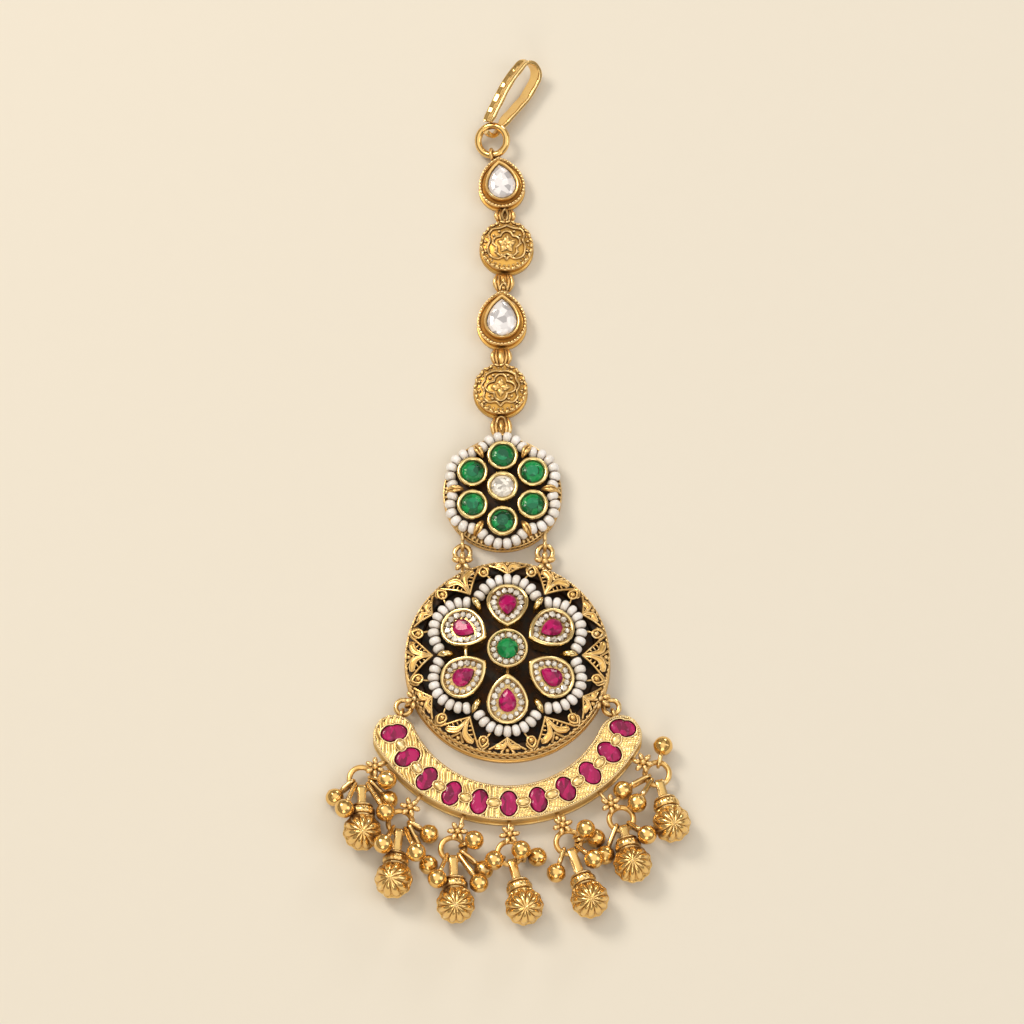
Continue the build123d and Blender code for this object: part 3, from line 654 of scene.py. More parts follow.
# --- the maker's bench
class Bench:
    """Collects shapes, in millimetres, until they are turned into one mesh."""

    def __init__(self) -> None:
        """Start with nothing on the bench."""
        self._points: list[Array] = []
        self._faces: list[tuple[Array, int]] = []
        self._count = 0

    # --- raw shapes
    def add(self, points: Array, faces: Sequence[Array], ink: int = 0) -> None:
        """Add one shape, turned right side out.

        Args:
            points: Its corners, one row each.
            faces: Arrays of corner numbers, one array for each number of corners to a face.
            ink: Number of its finish.
        """
        points = np.asarray(points, float).reshape(-1, 3)
        middle = points.mean(axis=0)
        volume = 0.0
        for group in faces:
            p = points[group] - middle
            for k in range(1, group.shape[1] - 1):
                volume += float(np.einsum("ij,ij->i", p[:, 0], np.cross(p[:, k], p[:, k + 1])).sum())
        for group in faces:
            ordered = group[:, ::-1] if volume < 0 else group
            self._faces.append((ordered + self._count, ink))
        self._points.append(points)
        self._count += len(points)

    def grid(self, cells: Array, low_tip: Optional[Point] = None,
             high_tip: Optional[Point] = None, wrap_rows: bool = False,
             wrap_columns: bool = True, ink: int = 0) -> None:
        """Add a sheet of quads over rows and columns of points.

        Args:
            cells: The points, rows by columns by three.
            low_tip: A point that closes the first row, such as a pole or the middle of a cap.
            high_tip: A point that closes the last row.
            wrap_rows: Whether the last row joins the first.
            wrap_columns: Whether the last column joins the first.
            ink: Number of its finish.
        """
        rows, columns = cells.shape[:2]
        index = np.arange(rows * columns).reshape(rows, columns)
        points = cells.reshape(-1, 3)
        wide = np.hstack([index, index[:, :1]]) if wrap_columns else index
        tall = np.vstack([wide, wide[:1]]) if wrap_rows else wide
        quads = np.stack([tall[:-1, :-1], tall[:-1, 1:], tall[1:, 1:], tall[1:, :-1]], -1)
        faces = [quads.reshape(-1, 4)]
        fans = []
        for tip, row, forward in ((low_tip, wide[0], False), (high_tip, wide[-1], True)):
            if tip is None:
                continue
            points = np.vstack([points, [tip]])
            apex = np.full(len(row) - 1, len(points) - 1)
            first, second = (row[:-1], row[1:]) if forward else (row[1:], row[:-1])
            fans.append(np.stack([first, second, apex], -1))
        if fans:
            faces.append(np.vstack(fans))
        self.add(points, faces, ink)

    def ball(self, centre: Point, radii: Union[float, Point], place: Place = HOME,
             around: int = 12, tall: int = 7, ink: int = 0) -> None:
        """Add a ball or an egg.

        Args:
            centre: Its middle, in the place's axes.
            radii: Its radius, or three half sizes along the place's axes.
            place: The axes it stands in.
            around: Faces round its equator.
            tall: Faces from pole to pole.
            ink: Number of its finish.
        """
        centre = np.asarray(centre, float)
        size = np.broadcast_to(np.asarray(radii, float), 3)
        lat = np.linspace(-pi / 2, pi / 2, tall + 1)[1:-1, None]
        lon = np.linspace(0, 2 * pi, around, endpoint=False)
        cells = np.stack([np.cos(lat) * np.cos(lon), np.cos(lat) * np.sin(lon),
                          np.sin(lat) + 0 * lon], -1) * size + centre
        low, high = [place.put(centre + (0, 0, sign * size[2])) for sign in (-1, 1)]
        self.grid(place.put(cells), low, high, ink=ink)

    def wire(self, path: Sequence[Point], radius: Union[float, Array], around: int = 8,
             closed: bool = False, flat: float = 1.0, across: Point = UP, square: float = 2.0,
             ink: int = 0) -> None:
        """Add a wire, a strap or a tapered leaf along a path.

        Args:
            path: Points that its middle follows.
            radius: Half its width, the same all along or one for each point.
            around: Faces round its section.
            closed: Whether it joins up with itself.
            flat: Its height as a share of its width.
            across: Roughly the way its height points.
            square: Shape of its section, from 2 for round to 6 for nearly square.
            ink: Number of its finish.
        """
        line = np.asarray(path, float)
        ahead = np.roll(line, -1, axis=0) - np.roll(line, 1, axis=0)
        if not closed:
            ahead[0] = line[1] - line[0]
            ahead[-1] = line[-1] - line[-2]
        ahead = units(ahead)
        tall = np.asarray(across, float) - ahead * (ahead @ np.asarray(across, float))[:, None]
        weak = np.linalg.norm(tall, axis=1) < 0.15
        tall[weak] = np.cross(ahead[weak], np.cross((0.0, 1.0, 0.0), ahead[weak]) + 1e-9)
        for k in range(1, len(tall)):
            if weak[k] and tall[k].dot(tall[k - 1]) < 0:
                tall[k] *= -1
        tall = units(tall)
        wide = np.cross(ahead, tall)
        c, s = rim(1, turns(around)).T
        bulge = (np.abs(c) ** square + np.abs(s) ** square) ** (-1 / square)
        size = np.broadcast_to(np.asarray(radius, float), len(line))[:, None, None]
        ring = ((c * bulge)[None, :, None] * wide[:, None, :]
                + (s * bulge * flat)[None, :, None] * tall[:, None, :])
        cells = line[:, None, :] + size * ring
        if closed:
            self.grid(cells, wrap_rows=True, ink=ink)
            return
        ends = []
        for end, sign in ((0, -1), (-1, 1)):
            reach = float(size[end, 0, 0]) * min(flat, 1.0)
            cap = line[end] + sign * ahead[end] * reach * 0.35 + 0.78 * size[end] * ring[end]
            ends.append((cap[None], line[end] + sign * ahead[end] * reach * 0.5))
        cells = np.concatenate([ends[0][0], cells, ends[1][0]])
        self.grid(cells, ends[0][1], ends[1][1], ink=ink)

    def turned(self, profile: Sequence[Point], place: Place = HOME, around: int = 96,
               wave: Optional[Callable[[Array, int], Array]] = None, ink: int = 0) -> None:
        """Add a shape turned on a lathe.

        Args:
            profile: Its (radius, height) corners. A radius of 0 at either end closes it there.
            place: The axes it stands in.
            around: Faces round it.
            wave: Changes the radius, from the angles in radians and the corner's number.
            ink: Number of its finish.
        """
        turn = turns(around)
        low, high = [place.put((0, 0, z)) if radius == 0 else None
                     for radius, z in (profile[0], profile[-1])]
        cells = []
        for number, (radius, z) in enumerate(profile):
            if radius > 0:
                r = radius if wave is None else radius + wave(turn, number)
                cells.append(lifted(rim(r, turn), z))
        self.grid(place.put(cells), low, high, ink=ink)

    def stack(self, rings: Sequence[Array], place: Place = HOME, ink: int = 0) -> None:
        """Add a closed shape through outlines with equally many points, from the bottom up."""
        cells = place.put(rings)
        self.grid(cells, cells[0].mean(axis=0), cells[-1].mean(axis=0), ink=ink)

    # --- shapes that a goldsmith repeats
    def beads(self, path: Array, size: Point, skew: float, swing: float, place: Place,
              around: int, tall: int) -> None:
        """Add a row of little grains along a closed path, each lying along it.

        Args:
            path: One point for each grain, in the place's axes.
            size: Half sizes of a grain along, across and up.
            skew: Degrees that every grain is turned from the path.
            swing: Degrees that grains are turned besides, to one side and the other by turns.
            place: The axes that the path is in.
            around: Faces round a grain.
            tall: Faces from a grain's tip to its other tip.
        """
        ahead = np.roll(path, -1, axis=0) - np.roll(path, 1, axis=0)
        for number, (spot, run) in enumerate(zip(path, ahead)):
            lean = radians(skew + (swing if number % 2 else -swing))
            run = unit(run)
            side = np.array([-run[1], run[0], 0.0])
            along = unit(run * cos(lean) + side * sin(lean))
            grain = Place(place.put(spot), place.put(np.cross(UP, along)) - place.origin,
                          place.z_axis, place.put(along) - place.origin)
            self.ball((0, 0, 0), (size[1], size[2], size[0]), grain, around, tall)

    def flower(self, place: Place, petals: int, reach: float, grain: float) -> None:
        """Add a flower of drop-shaped grains round a middle grain.

        Args:
            place: Its middle, facing the way it opens.
            petals: How many grains stand round the middle one.
            reach: From its middle to a petal's middle.
            grain: Radius of its middle grain.
        """
        for number in range(petals):
            out = polar(360 / petals * number + 18, 1)
            spot = Place.facing(place.put(out * reach), place.put(out) - place.origin, place.z_axis)
            self.ball((0, 0, 0), (0.82 * grain, 0.82 * grain, 1.3 * grain), spot, 10, 8)
        self.ball((0, 0, 0.45 * grain), 0.95 * grain, place, 12, 8)

    def ring(self, place: Place, radius: float, tube: float, steps: int = 48,
             around: int = 12) -> None:
        """Add a round jump ring, its joint showing as a faint seam."""
        girth = np.full(steps, tube)
        girth[0] *= 0.9
        self.wire(place.put(Path.circle(radius, steps)), girth, around, closed=True,
                  across=place.z_axis)

    def brilliant(self, place: Place, radius: float, low: float, high: float, sides: int,
                  table: float) -> None:
        """Add a round cut stone with flat facets.

        Args:
            place: Middle of its base, facing up.
            radius: Its radius at the girdle.
            low: Height of its bottom.
            high: Height of its flat table.
            sides: How many main facets go round it.
            table: The table's radius as a share of the stone's.
        """
        rise = high - low
        rings = [Path.circle(share * radius, 2 * sides, z)
                 for share, z in ((0.45, low), (1, low + 0.55 * rise), (1, low + 0.62 * rise),
                                  (0.8, low + 0.86 * rise), (table, high))]
        crown, top = rings[3:]
        crown[1::2, :2] *= 0.9
        crown[1::2, 2] += 0.03 * rise
        top[::2, :2] *= 0.985 / cos(radians(180 / sides)) * 0.97
        self.stack(rings, place)

    # --- the finished piece
    def finish(self, name: str, finishes: Sequence[Finish], slot: str,
               replaces: Sequence[str] = (), crisp: float = 38.0, flat: bool = False) -> None:
        """Turn what is on the bench into a piece of the jewel.

        Args:
            name: The piece's name.
            finishes: Its finishes, in the order of their ink numbers.
            slot: Not used.
            replaces: The frame's nodes that it stands for.
            crisp: Degrees past which an edge stays sharp.
            flat: Whether every face stays flat, as on a cut stone.
        """
        mesh = bpy.data.meshes.new(name)
        points = np.vstack(self._points) * MM
        sizes = np.concatenate([np.full(len(group), group.shape[1]) for group, _ in self._faces])
        corners = np.concatenate([group.ravel() for group, _ in self._faces])
        inks = np.concatenate([np.full(len(group), ink) for group, ink in self._faces])
        mesh.vertices.add(len(points))
        mesh.vertices.foreach_set("co", points.astype(np.float32).ravel())
        mesh.loops.add(len(corners))
        mesh.loops.foreach_set("vertex_index", corners.astype(np.int32))
        mesh.polygons.add(len(sizes))
        mesh.polygons.foreach_set("loop_start",
                                  np.concatenate([[0], np.cumsum(sizes)[:-1]]).astype(np.int32))
        mesh.polygons.foreach_set("material_index", inks.astype(np.int32))
        mesh.polygons.foreach_set("use_smooth", np.full(len(sizes), not flat))
        mesh.update(calc_edges=True)
        mesh.validate()
        if not flat:
            mesh.set_sharp_from_angle(angle=radians(crisp))
        for finish in finishes:
            mesh.materials.append(finish.material())
        piece = bpy.data.objects.new(name, mesh)
        bpy.context.scene.collection.objects.link(piece)
        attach(piece, "root")
        if replaces:
            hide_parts(*replaces)
        log.info("%s: %d faces", name, len(sizes))


def node_middle(node: str) -> Array:
    """Return the middle of a frame node's box, in millimetres."""
    return np.sum(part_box(node), axis=0) / 2 / MM


def node_box(node: str) -> Array:
    """Return the low and the high corner of a frame node's box, in millimetres."""
    return np.array(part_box(node)) / MM


# --- hook and top ring
@dataclass
class TopRing:
    """Heavy jump ring between the hook and the first link."""

    radius: float = 2.25
    tube: float = 0.475
    forward: float = 15.0
    sideways: float = 18.0

    def place(self) -> Place:
        """Return the ring's middle and slant."""
        a, b = radians(self.forward), radians(self.sideways)
        right = np.array([cos(b), 0, sin(b)])
        ahead = np.array([0, cos(a), sin(a)])
        return Place.facing(node_middle("top_ring"), np.cross(right, ahead), right)

    def point(self, side: int) -> Array:
        """Return the point on its wire at the hook (1) or at the first link (-1)."""
        place = self.place()
        ahead = unit(np.cross(place.z_axis, (1.0, 0.0, 0.0)))
        return place.origin + ahead * side * self.radius

    def build(self) -> None:
        """Make the ring, slightly uneven as if closed by hand."""
        turn = turns(72)
        girth = self.tube * (1 + 0.02 * np.sin(3 * turn) + 0.015 * np.sin(7 * turn + 1))
        girth[0] *= 0.93
        place = self.place()
        bench = Bench()
        bench.wire(place.put(Path.circle(self.radius, 72)), girth * 1.12, 20, closed=True,
                   across=place.z_axis)
        bench.finish("top_jump_ring", [POLISHED], "polished_gold", ["top_ring"])


@dataclass
class HairHook:
    """Flat hammered strip bent into a crook, its narrow end curled round the top ring."""

    ring: TopRing
    width: float = 2.4
    thick: float = 0.8
    neck_width: float = 1.0
    lean: float = 57.0
    rise: float = 44.0
    dent_step: float = 2.2
    route: Sequence[Point] = ((-1.42, 0.35), (-1.42, -1.42), (2.3, -1.3), (7.2, -2.0),
                              (11.2, -1.4), (11.9, 1.9), (7.0, 2.3), (-0.1, 1.1))
    bends: Sequence[float] = (1.15, 3.5, 9.0, 1.7, 1.5, 16.0)

    def place(self) -> Place:
        """Return the plane that the strip is bent in."""
        along = polar(self.lean, 1)
        across = polar(self.lean + 90, cos(radians(self.rise)), sin(radians(self.rise)))
        return Place(self.ring.point(1), along, across, np.cross(along, across))

    def hammering(self, run: Array, across: Array) -> Array:
        """Return the depth of the hammered outer face: a row of dents between two raised rows.

        Args:
            run: Distance along the strip.
            across: Place across it, from -1 to 1.

        Returns:
            Height over the plain face.
        """
        groove = np.interp(across, (-1, -0.8, -0.2, 0.15, 0.6, 1), (0, 0, -1, -0.75, -0.1, 0))
        swing = np.cos(2 * pi * run / self.dent_step + 0.5 * np.sin(run * 1.7)
                       + 1.5 * (across > 0.1))
        return 0.43 * groove * (0.76 + 0.24 * np.tanh(2 * swing + 0.5))

    def build(self) -> None:
        """Sweep the hammered section along the strip's route."""
        line = Path.filleted(self.route, self.bends, 0.11)
        step = np.linalg.norm(np.diff(line, axis=0), axis=1)
        run = np.concatenate([[0], np.cumsum(step)])[:, None]
        ahead = units(np.gradient(line, axis=0))
        outward = lifted(np.stack([ahead[:, 1], -ahead[:, 0]], 1))
        open_end = np.clip((run - 3.2) / 1.4, 0, 1)
        tail = np.clip((run[-1] - run) / 0.9, 0, 1) ** 0.5
        half = (self.neck_width + (self.width - self.neck_width) * open_end) / 2
        half = half * (0.72 + 0.28 * tail)
        c, s = rim(1, (np.arange(64) + 0.5) * 2 * pi / 64).T
        u = np.sign(c) * np.abs(c) ** np.where(s > 0, 0.8, 0.42)
        v = np.sign(s) * np.abs(s) ** np.where(s > 0, 0.3, 0.42)
        dents = self.hammering(run, u) * np.clip(v, 0, 1) * open_end
        ripple = 0.05 * (1 - np.cos(run * 2.3)) * np.clip(-v, 0, 1) * open_end
        lift = v * self.thick / 2 * (0.75 + 0.25 * tail) * 0.97 + dents + ripple
        cells = line[:, None, :] + outward[:, None, :] * lift[..., None] + UP * (u * half)[..., None]
        place = self.place()
        bench = Bench()
        bench.grid(place.put(cells), place.put(line[0]), place.put(line[-1]))
        bench.finish("hair_hook_strip", [HAMMERED], "polished_gold", ["hook"], crisp=60)


# --- the chain of links
@dataclass
class TeardropLink:
    """Teardrop box with a deep side wall, a beaded rim and a bezel round a clear stone."""

    number: int
    radius: float
    tip: float
    height: float
    lean: float = 0.0
    bead_step: float = 0.54
    bezel_share: float = 0.73
    bezel_tip: float = 0.85
    bezel_edge: float = 0.45

    def place(self) -> Place:
        """Return the middle of its round end, turned as the link leans."""
        low = node_box(f"teardrop_link_{self.number}")[0]
        return Place.turned(low[0] + self.radius, low[1] + self.radius, 0, self.lean)

    def outline(self, inset: float, z: float, count: int = 96) -> Array:
        """Return the link's outline, drawn in by an inset, at a height."""
        return Path.drop(self.radius - inset, self.tip - 1.5 * inset, z, count)

    def bezel(self, inset: float, z: float, count: int = 96) -> Array:
        """Return the bezel's outline, drawn in by an inset, at a height."""
        return Path.drop(self.bezel_share * self.radius - inset,
                         self.bezel_tip * self.tip - 1.5 * inset, z, count)

    def build(self) -> None:
        """Make the box, its beaded rim and bezel, the stone and the first link's eye."""
        h = self.height
        place = self.place()
        bench = Bench()
        body = [(0, 0.02), (0, 0.4), (0.06, 0.5), (0.3, 0.56), (0.36, 0.8), (0.34, h - 0.75),
                (0.24, h - 0.5), (0.05, h - 0.42), (0, h - 0.25), (0.04, h - 0.05),
                (0.2, h + 0.02), (0.42, h - 0.08), (0.55, h - 0.3), (0.8, h - 0.36)]
        rings = [self.outline(inset, z) for inset, z in body]
        lip = [(-0.02, h - 0.36), (0.0, h + 0.3), (0.03, h + 0.45), (0.14, h + 0.55),
               (0.28, h + 0.53), (self.bezel_edge - 0.06, h + 0.42), (self.bezel_edge, h + 0.2),
               (self.bezel_edge + 0.02, h - 0.62)]
        rings += [self.bezel(inset, z) for inset, z in lip]
        bench.stack(rings, place)
        line = self.outline(0.2, h + 0.03, 400)
        count = int(np.linalg.norm(np.roll(line, -1, 0) - line, axis=1).sum() / self.bead_step)
        bench.beads(Path.even(line, count, closed=True), (0.25, 0.17, 0.16), 8, 0, place, 8, 6)
        if self.number == 1:
            bench.ring(Place.facing(TopRing().point(-1), (1, 0.1, 0.3)), 0.92, 0.25)
        bench.finish(f"teardrop_box_{self.number}", [ANTIQUE], "antique_gold",
                     [f"teardrop_link_{self.number}"])
        self.build_stone(place)

    def build_stone(self, place: Place) -> None:
        """Make the flat-topped clear stone with its ring of long facets."""
        h = self.height
        edge = self.bezel_edge + 0.06
        sides = 18
        rings = [self.bezel(edge + inset, h + z, sides) for inset, z in
                 ((0.55, -0.55), (0, 0.08), (0, 0.16), (0.34, 0.42), (0.85, 0.58))]
        for ring in rings[3:]:
            ring[1::2, :2] *= 0.94
        bench = Bench()
        bench.stack(rings, place)
        bench.finish(f"teardrop_crystal_{self.number}", [CRYSTAL], "clear_stone",
                     [f"teardrop_stone_{self.number}"], flat=True)


class RoundPattern(Enum):
    """The two carved patterns of the round links."""

    STAR = auto()
    DIAMOND = auto()


@dataclass
class RoundLink:
    """Round box with a roped rim and a domed face carved with looping outlines."""

    number: int
    pattern: RoundPattern
    radius: float = 4.1
    rope_count: int = 29
    face_radius: float = 3.45
    face_z: float = 2.5
    face_rise: float = 0.62

    def dome(self, reach: Array) -> Array:
        """Return the face's height at distances from its middle."""
        return self.face_z + self.face_rise * (1 - (reach / self.face_radius) ** 2)

    def carve(self, bench: Bench, outline: Array, radius: float, place: Place,
              closed: bool = True) -> None:
        """Lay a wire on the domed face.

        Args:
            bench: Where it is made.
            outline: The flat line that it follows.
            radius: Its own radius.
            place: The link's middle.
            closed: Whether it joins up with itself.
        """
        line = outline.copy()
        line[:, 2] = self.dome(np.linalg.norm(line[:, :2], axis=1)) + 0.1
        bench.wire(place.put(line), radius, 8, closed=closed, flat=1.25)

    def build(self) -> None:
        """Make the box, the roped rim and the carved face."""
        place = Place.turned(*node_middle(f"round_link_{self.number}")[:2])
        r = self.radius
        bench = Bench()
        bench.turned([(0, 0.02), (r, 0.02), (r, 0.38), (r - 0.08, 0.5), (r - 0.32, 0.58),
                      (r - 0.38, 0.9), (r - 0.38, 1.75), (r - 0.2, 2.0), (r - 0.1, 2.2),
                      (r - 0.12, 2.4), (r - 0.25, 2.5), (r - 0.5, 2.4), (self.face_radius, 2.42),
                      (2.4, self.dome(2.4) - 0.1), (1.6, self.dome(1.6) - 0.1), (0.8, 2.98),
                      (0, 3.02)], place)
        bench.beads(Path.circle(r - 0.3, self.rope_count, 2.54), (0.44, 0.23, 0.24), 0,
                    24 if self.pattern is RoundPattern.STAR else 32, place, 10, 8)
        bench.beads(Path.circle(3.28, 30, 2.5), (0.2, 0.12, 0.13), 52, 40, place, 8, 5)
        if self.pattern is RoundPattern.STAR:
            self.star_face(bench, place)
        else:
            self.diamond_face(bench, place)
        bench.finish(f"round_box_{self.number}", [CAST], "antique_gold",
                     [f"round_link_{self.number}"])

    def star_face(self, bench: Bench, place: Place) -> None:
        """Carve the first round link: a cusped outline, a five-lobed one and a star."""
        self.border(bench, place, [(0.0, 2.75), (0.9, 2.35), (1.9, 2.2), (2.35, 1.4), (2.2, 0.6),
                                   (2.5, -0.3), (2.2, -1.5), (1.2, -2.0), (0.35, -1.75),
                                   (0.0, -2.2)])
        self.carve(bench, Path.wavy(lambda a: 1.55 + 0.55 * np.abs(np.cos(2.5 * (a - pi / 2))),
                                    90), 0.16, place)
        self.petals(bench, place, 5)
        self.granules(bench, place, [(1.75, 1.3), (1.85, 0.1), (1.5, -1.1), (0.6, -1.55),
                                     (1.0, 1.85), (2.85, 0.5), (2.8, -0.9)])

    def diamond_face(self, bench: Bench, place: Place) -> None:
        """Carve the second round link: a cusped outline, a quatrefoil and a cut diamond."""
        self.border(bench, place, [(0.0, 2.3), (0.9, 2.35), (1.9, 1.85), (2.1, 1.1), (2.5, 0.35),
                                   (2.15, -0.5), (2.25, -1.3), (1.6, -2.0), (0.6, -2.0),
                                   (0.0, -2.55)])
        lobes = Path.wavy(lambda a: 1.4 + 0.85 * np.abs(np.cos(2 * a)) ** 1.3, 96)
        lobes[:, 1] *= 0.94
        self.carve(bench, lobes, 0.16, place)
        self.petals(bench, place, 4)
        self.granules(bench, place, [(1.45, 1.35), (1.5, -1.2), (2.85, 0.9), (2.85, -0.4),
                                     (1.1, -1.6), (1.0, 1.75), (2.2, -2.0)])

    def border(self, bench: Bench, place: Place, half: Sequence[Point]) -> None:
        """Carve the cusped outline, given by its right half, and that half's mirror image."""
        for side in (1, -1):
            line = 1.14 * Path.through(half, 44) * (side, 1, 1)
            self.carve(bench, line, 0.17, place, closed=False)

    def petals(self, bench: Bench, place: Place, count: int) -> None:
        """Add the plump pointed petals that meet in the middle of the face."""
        for number in range(count):
            out = polar(90 + 360 / count * number, 1)
            line = np.stack([out * t for t in np.linspace(0.08, 1.5, 12)])
            line[:, 2] = self.dome(np.linalg.norm(line[:, :2], axis=1)) + 0.12
            girth = 0.52 * np.sin(np.linspace(0.35, pi - 0.12, 12)) ** 1.2
            bench.wire(place.put(line), girth, 10, flat=0.5, square=1.4)

    def granules(self, bench: Bench, place: Place, spots: Sequence[Point]) -> None:
        """Set small grains on the face at points and at their mirror images."""
        for x, y in spots:
            for side in (1, -1):
                z = self.dome(hypot(x, y)) + 0.04
                bench.ball((side * 1.12 * x, 1.12 * y, z), (0.25, 0.2, 0.18), place, 8, 5)


class LeafStyle(Enum):
    """The four fans of leaves between the links."""

    OPEN_LEAF = auto()
    ARCH_AND_BEAD = auto()
    SOLID_LEAF = auto()
    ARCH_AND_GRAINS = auto()


@dataclass
class PetalLink:
    """Fan of three small leaves that joins two links."""

    number: int
    style: LeafStyle
    high_z: float = 1.75

    def leaf(self, bench: Bench, place: Place, points: Sequence[Point], girth: float,
             flat: float = 0.7) -> None:
        """Lay a solid leaf, thickest at its middle.

        Args:
            bench: Where it is made.
            place: Middle of the link's lower edge.
            points: Points that its middle passes through.
            girth: Half its greatest width.
            flat: Its height as a share of its width.
        """
        line = Path.through(points, 18)
        swell = 0.3 + 0.7 * np.sin(np.linspace(0.25, pi - 0.05, 18))
        bench.wire(place.put(line), girth * swell, 10, flat=flat)

    def build(self) -> None:
        """Make the cross bar and the leaves of this link's style."""
        node = f"petal_link_{self.number}"
        low, high = node_box(node)
        place = Place.turned((low[0] + high[0]) / 2, low[1])
        length = high[1] - low[1]
        bench = Bench()
        bar = Path.even([(-1.15, length * 0.5, 0.75), (1.15, length * 0.5, 0.75)], 8)
        bench.wire(place.put(bar), 0.42, 10, flat=0.9, square=4)
        spine = Path.even([(0, 0.05, 0.7), (0, length - 0.05, 0.7)], 8)
        bench.wire(place.put(spine), 0.85, 12, flat=0.5, square=3)
        top = self.high_z - 0.2
        for side in (1, -1):
            bend = [(side * 0.85, 0.0, 1.1), (side * 1.3, length * 0.35, top - 0.05),
                    (side * 1.24, length * 0.7, top), (side * 0.85, length, top - 0.15)]
            self.leaf(bench, place, bend, 0.32, 1.0)
            inner = [(side * 0.52, 0.05, top), (side * 0.8, length * 0.45, top),
                     (side * 0.64, length * 0.95, top - 0.1)]
            self.leaf(bench, place, inner, 0.26, 1.2)
        if self.style is LeafStyle.OPEN_LEAF:
            end, z = length + 0.1, self.high_z - 0.15
            loop = [(0, 0, z), (0.44, end / 2, z), (0, end, z - 0.1), (-0.44, end / 2, z)]
            bench.wire(place.put(Path.through(loop, 36, closed=True)), 0.2, 8, closed=True,
                       flat=1.6)
        elif self.style is LeafStyle.ARCH_AND_BEAD:
            arch = [(-0.62, 0.1, top), (-0.4, 0.75, top + 0.1), (0, 1.1, top + 0.15),
                    (0.4, 0.75, top + 0.1), (0.62, 0.1, top)]
            bench.wire(place.put(Path.through(arch, 24)), 0.15, 8, flat=1.2)
            bench.ball((0, 0.38, top + 0.05), (0.34, 0.32, 0.3), place)
            self.leaf(bench, place, [(0, 1.2, top - 0.1), (0, length * 0.8, top - 0.1)], 0.22)
        elif self.style is LeafStyle.SOLID_LEAF:
            self.leaf(bench, place, [(0, 0, top), (0, length * 0.4, top + 0.15), (0, length, top)],
                      0.52, 0.55)
            for side in (1, -1):
                bench.ball((side * 0.62, 0.02, top - 0.2), 0.24, place)
        else:
            arch = [(-0.75, length - 1.2, top), (-0.5, length - 0.3, top + 0.1),
                    (0, length - 0.02, top + 0.15), (0.5, length - 0.3, top + 0.1),
                    (0.75, length - 1.2, top)]
            bench.wire(place.put(Path.through(arch, 24)), 0.15, 8, flat=1.2)
            self.leaf(bench, place, [(0, 1.1, top), (0, length * 0.75, top)], 0.24)
            for x in (-0.95, -0.32, 0.32, 0.95):
                bench.ball((x, 0.28 + 0.1 * abs(x), top), (0.3, 0.27, 0.26), place)
            for side in (1, -1):
                bench.ball((side * 0.8, 0.95, top), (0.2, 0.34, 0.24), place)
        bench.finish(f"leaf_fan_{self.number}", [ANTIQUE], "antique_gold", [node])


# --- rings and eyes
@dataclass(frozen=True)
class Linkage:
    """Small upright eye round a jump ring's wire, with a neck into the piece behind it."""

    ring_radius: float = 1.15
    ring_tube: float = 0.39
    eye_radius: float = 0.72
    eye_tube: float = 0.2875

    def ring_piece(self, between: str, side: str) -> Array:
        """Make one flat jump ring and return its middle."""
        node = f"{between}_ring_{side}"
        middle = node_middle(node)
        bench = Bench()
        bench.ring(Place.facing(middle, UP), self.ring_radius, self.ring_tube)
        bench.finish(f"{between}_jump_ring_{side}", [POLISHED], "polished_gold", [node])
        return middle

    def eye(self, bench: Bench, ring: Array, towards: Point, neck: float) -> Array:
        """Add an eye and its neck.

        Args:
            bench: The piece that carries the eye.
            ring: Middle of the jump ring that passes through it.
            towards: A point of the carrying piece at the ring's height.
            neck: Length of the neck.

        Returns:
            Where the eye meets its neck.
        """
        heading = unit(towards - ring)
        middle = ring + heading * self.ring_radius
        bench.ring(Place.facing(middle, np.cross(heading, UP)), self.eye_radius, self.eye_tube, 28, 10)
        start = middle + heading * self.eye_radius
        bench.wire([start, start + heading * neck], self.eye_tube, 10)
        return start


LINKAGE = Linkage()
SIDES = ("left", "right")


# --- strings of pearls
@dataclass(frozen=True)
class PearlString:
    """Six strings of seed pearls, each an arc round one lobe of a disc."""

    reach: float
    arc: float
    radius: float
    step: float
    count: int
    z: float

    def build(self, name: str, node: str, middle: Array) -> None:
        """Make the six strings as one piece.

        Args:
            name: The piece's name.
            node: The frame node that it replaces.
            middle: Middle of the disc.
        """
        bench = Bench()
        spread = degrees(self.step / self.arc)
        for lobe in range(6):
            out = 30 + 60 * lobe
            centre = middle + polar(out, self.reach)
            for number in range(self.count):
                angle = out + (number - (self.count - 1) / 2) * spread
                salt = noise.noise(Vector((lobe * 3.1, number * 1.7, self.radius)))
                spot = centre + polar(angle, self.arc) + (0, 0, self.z + 0.04 * salt)
                thread = polar(angle + 90 + 16 * salt, 1) + (0, 0, 0.18 * salt)
                size = self.radius * (0.985 + 0.03 * salt)
                self.pearl(bench, Place.facing(spot, thread, polar(angle, 1)), size,
                           self.step / 2 * 0.97)
        bench.finish(name, [NACRE], "pearl", [node])

    def pearl(self, bench: Bench, place: Place, radius: float, half: float) -> None:
        """Add one pearl: a barrel with soft shoulders, drilled along its place's Z axis."""
        barrel = [(radius * sin(a) ** 0.72, -half * copysign(abs(cos(a)) ** 0.85, cos(a)))
                  for a in np.linspace(0, pi, 11)[1:-1]]
        bench.turned([(0, -half * 0.97), *barrel, (0, half * 0.97)], place, 18)


